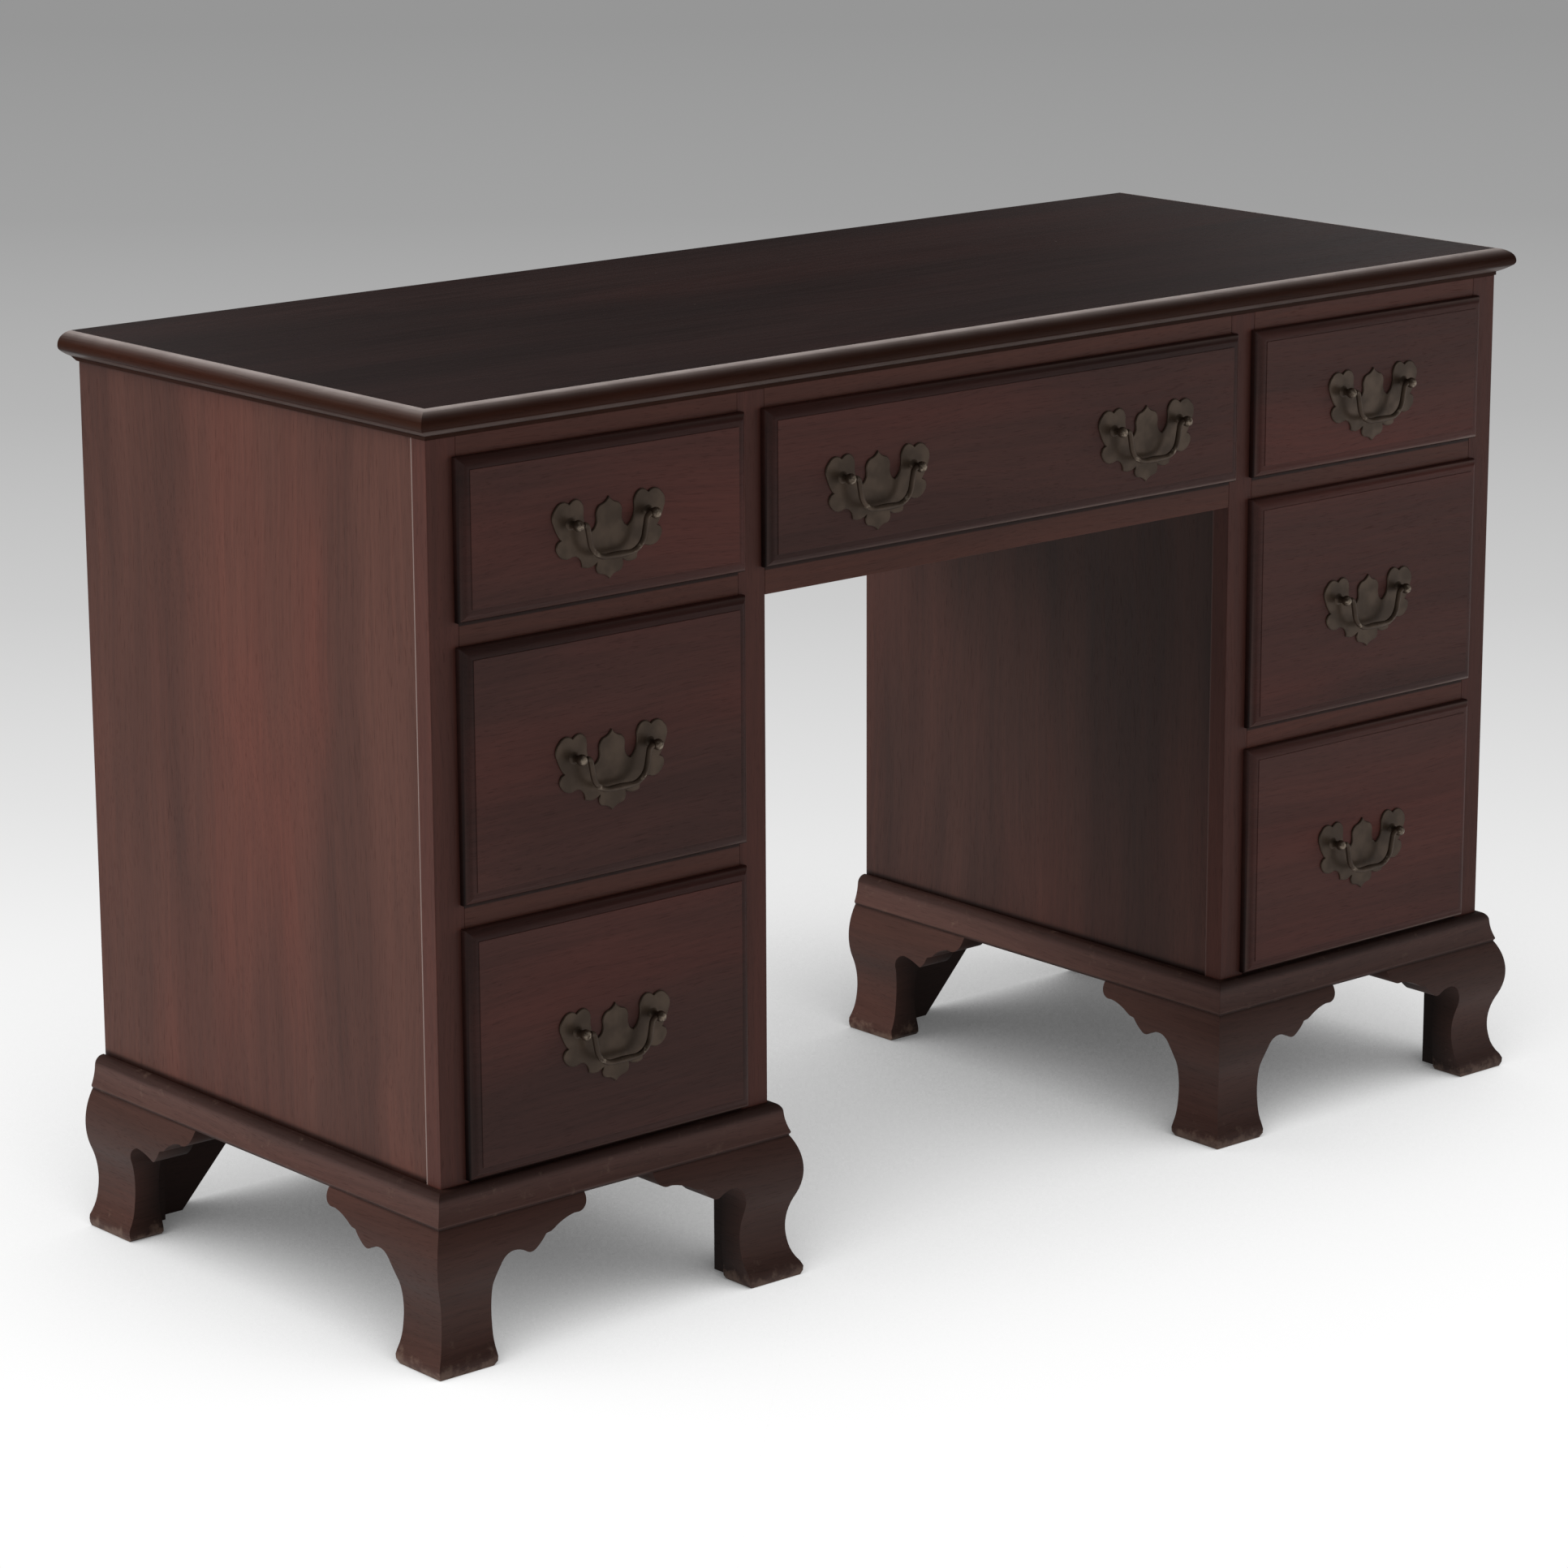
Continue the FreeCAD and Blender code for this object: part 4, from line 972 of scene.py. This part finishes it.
# The floor glows with a tone that follows the distance behind the desk; what stands on it darkens it with a
# painted shadow from ambient occlusion.
def addFloor(look):
    half = look["floorSize"] / 2
    corners = [(-half, -half, 0), (half, -half, 0), (half, half, 0), (-half, half, 0)]
    mesh = bpy.data.meshes.new("floor")
    mesh.from_pydata(corners, [], [(0, 1, 2, 3)])
    floor = bpy.data.objects.new("floor", mesh)
    scene.collection.objects.link(floor)
    material, tree, shader = newMaterial("studioFloor")
    along = vectorMaths(tree, "DOT_PRODUCT", objectPlace(tree), look["away"])["Value"]
    near, far = look["reach"]
    inputs = {"Value": along, "From Min": near, "From Max": far}
    share = addNode(tree, "ShaderNodeMapRange", inputs).outputs[0]
    ramp = addNode(tree, "ShaderNodeValToRGB", {0: share})
    stops = ramp.color_ramp.elements
    while len(stops) < len(look["falls"]):
        stops.new(0.5)  # anywhere, each is placed below
    for stop, (distance, tone) in zip(stops, look["falls"]):
        stop.position = (distance - near) / (far - near)
        stop.color = (tone, tone, tone, 1)
    lean = addNode(tree, "ShaderNodeNormal").outputs["Normal"]
    lean.default_value = Vector(look["shadowFrom"]).normalized()
    inputs = {"Distance": look["shadowReach"], "Normal": lean}
    shadow = addNode(tree, "ShaderNodeAmbientOcclusion", inputs, samples=look["shadowSamples"]).outputs["AO"]
    level = stepped(tree, shadow, (0.0, look["clear"]), (look["deepest"], 1.0))
    # the glow lights the desk a little less than it shows to the camera
    seen = addNode(tree, "ShaderNodeLightPath").outputs["Is Camera Ray"]
    inputs = {"Value": seen, "To Min": look["bounce"], "To Max": 1.0}
    lit = addNode(tree, "ShaderNodeMapRange", inputs).outputs[0]
    feed(tree, shader, {"Emission Color": dimmed(tree, ramp.outputs[0], level), "Emission Strength": lit,
                        "Base Color": (0, 0, 0, 1), "Roughness": 1.0, "Specular IOR Level": 0.0})
    mesh.materials.append(material)


def addPanel(look):
    data = bpy.data.lights.new("fill", "AREA")
    data.shape = "RECTANGLE"
    data.size, data.size_y = look["size"]
    data.energy = look["power"]
    panel = bpy.data.objects.new("fill", data)
    panel.location = look["place"]
    panel.rotation_euler = (Vector(look["aim"]) - Vector(look["place"])).to_track_quat("-Z", "Y").to_euler()
    panel.visible_camera = False
    scene.collection.objects.link(panel)


def addSun(name, look):
    data = bpy.data.lights.new(name, "SUN")
    data.energy = look["strength"]
    data.angle = math.radians(look["spread"])
    sun = bpy.data.objects.new(name, data)
    sun.rotation_euler = Vector(look["from"]).to_track_quat("Z", "Y").to_euler()
    sun.visible_glossy = False  # keeps its disc out of the polished top
    scene.collection.objects.link(sun)


# The room is faintly lit all round and dim behind the desk.
def addRoom(look):
    room = bpy.data.worlds.new("room")
    room.use_nodes = True
    tree = room.node_tree
    way = addNode(tree, "ShaderNodeTexCoord").outputs["Generated"]
    side = vectorMaths(tree, "DOT_PRODUCT", way, look["dimSide"])["Value"]
    strength = stepped(tree, side, look["dimEdge"], (look["lit"], look["dim"]))
    feed(tree, tree.nodes["Background"], {"Color": (1, 1, 1, 1), "Strength": strength})
    scene.world = room


addFloor(studio)
for name, look in suns.items():
    addSun(name, look)
addPanel(fill)
addRoom(studio)
scene.view_settings.view_transform = "Standard"
print("studio")
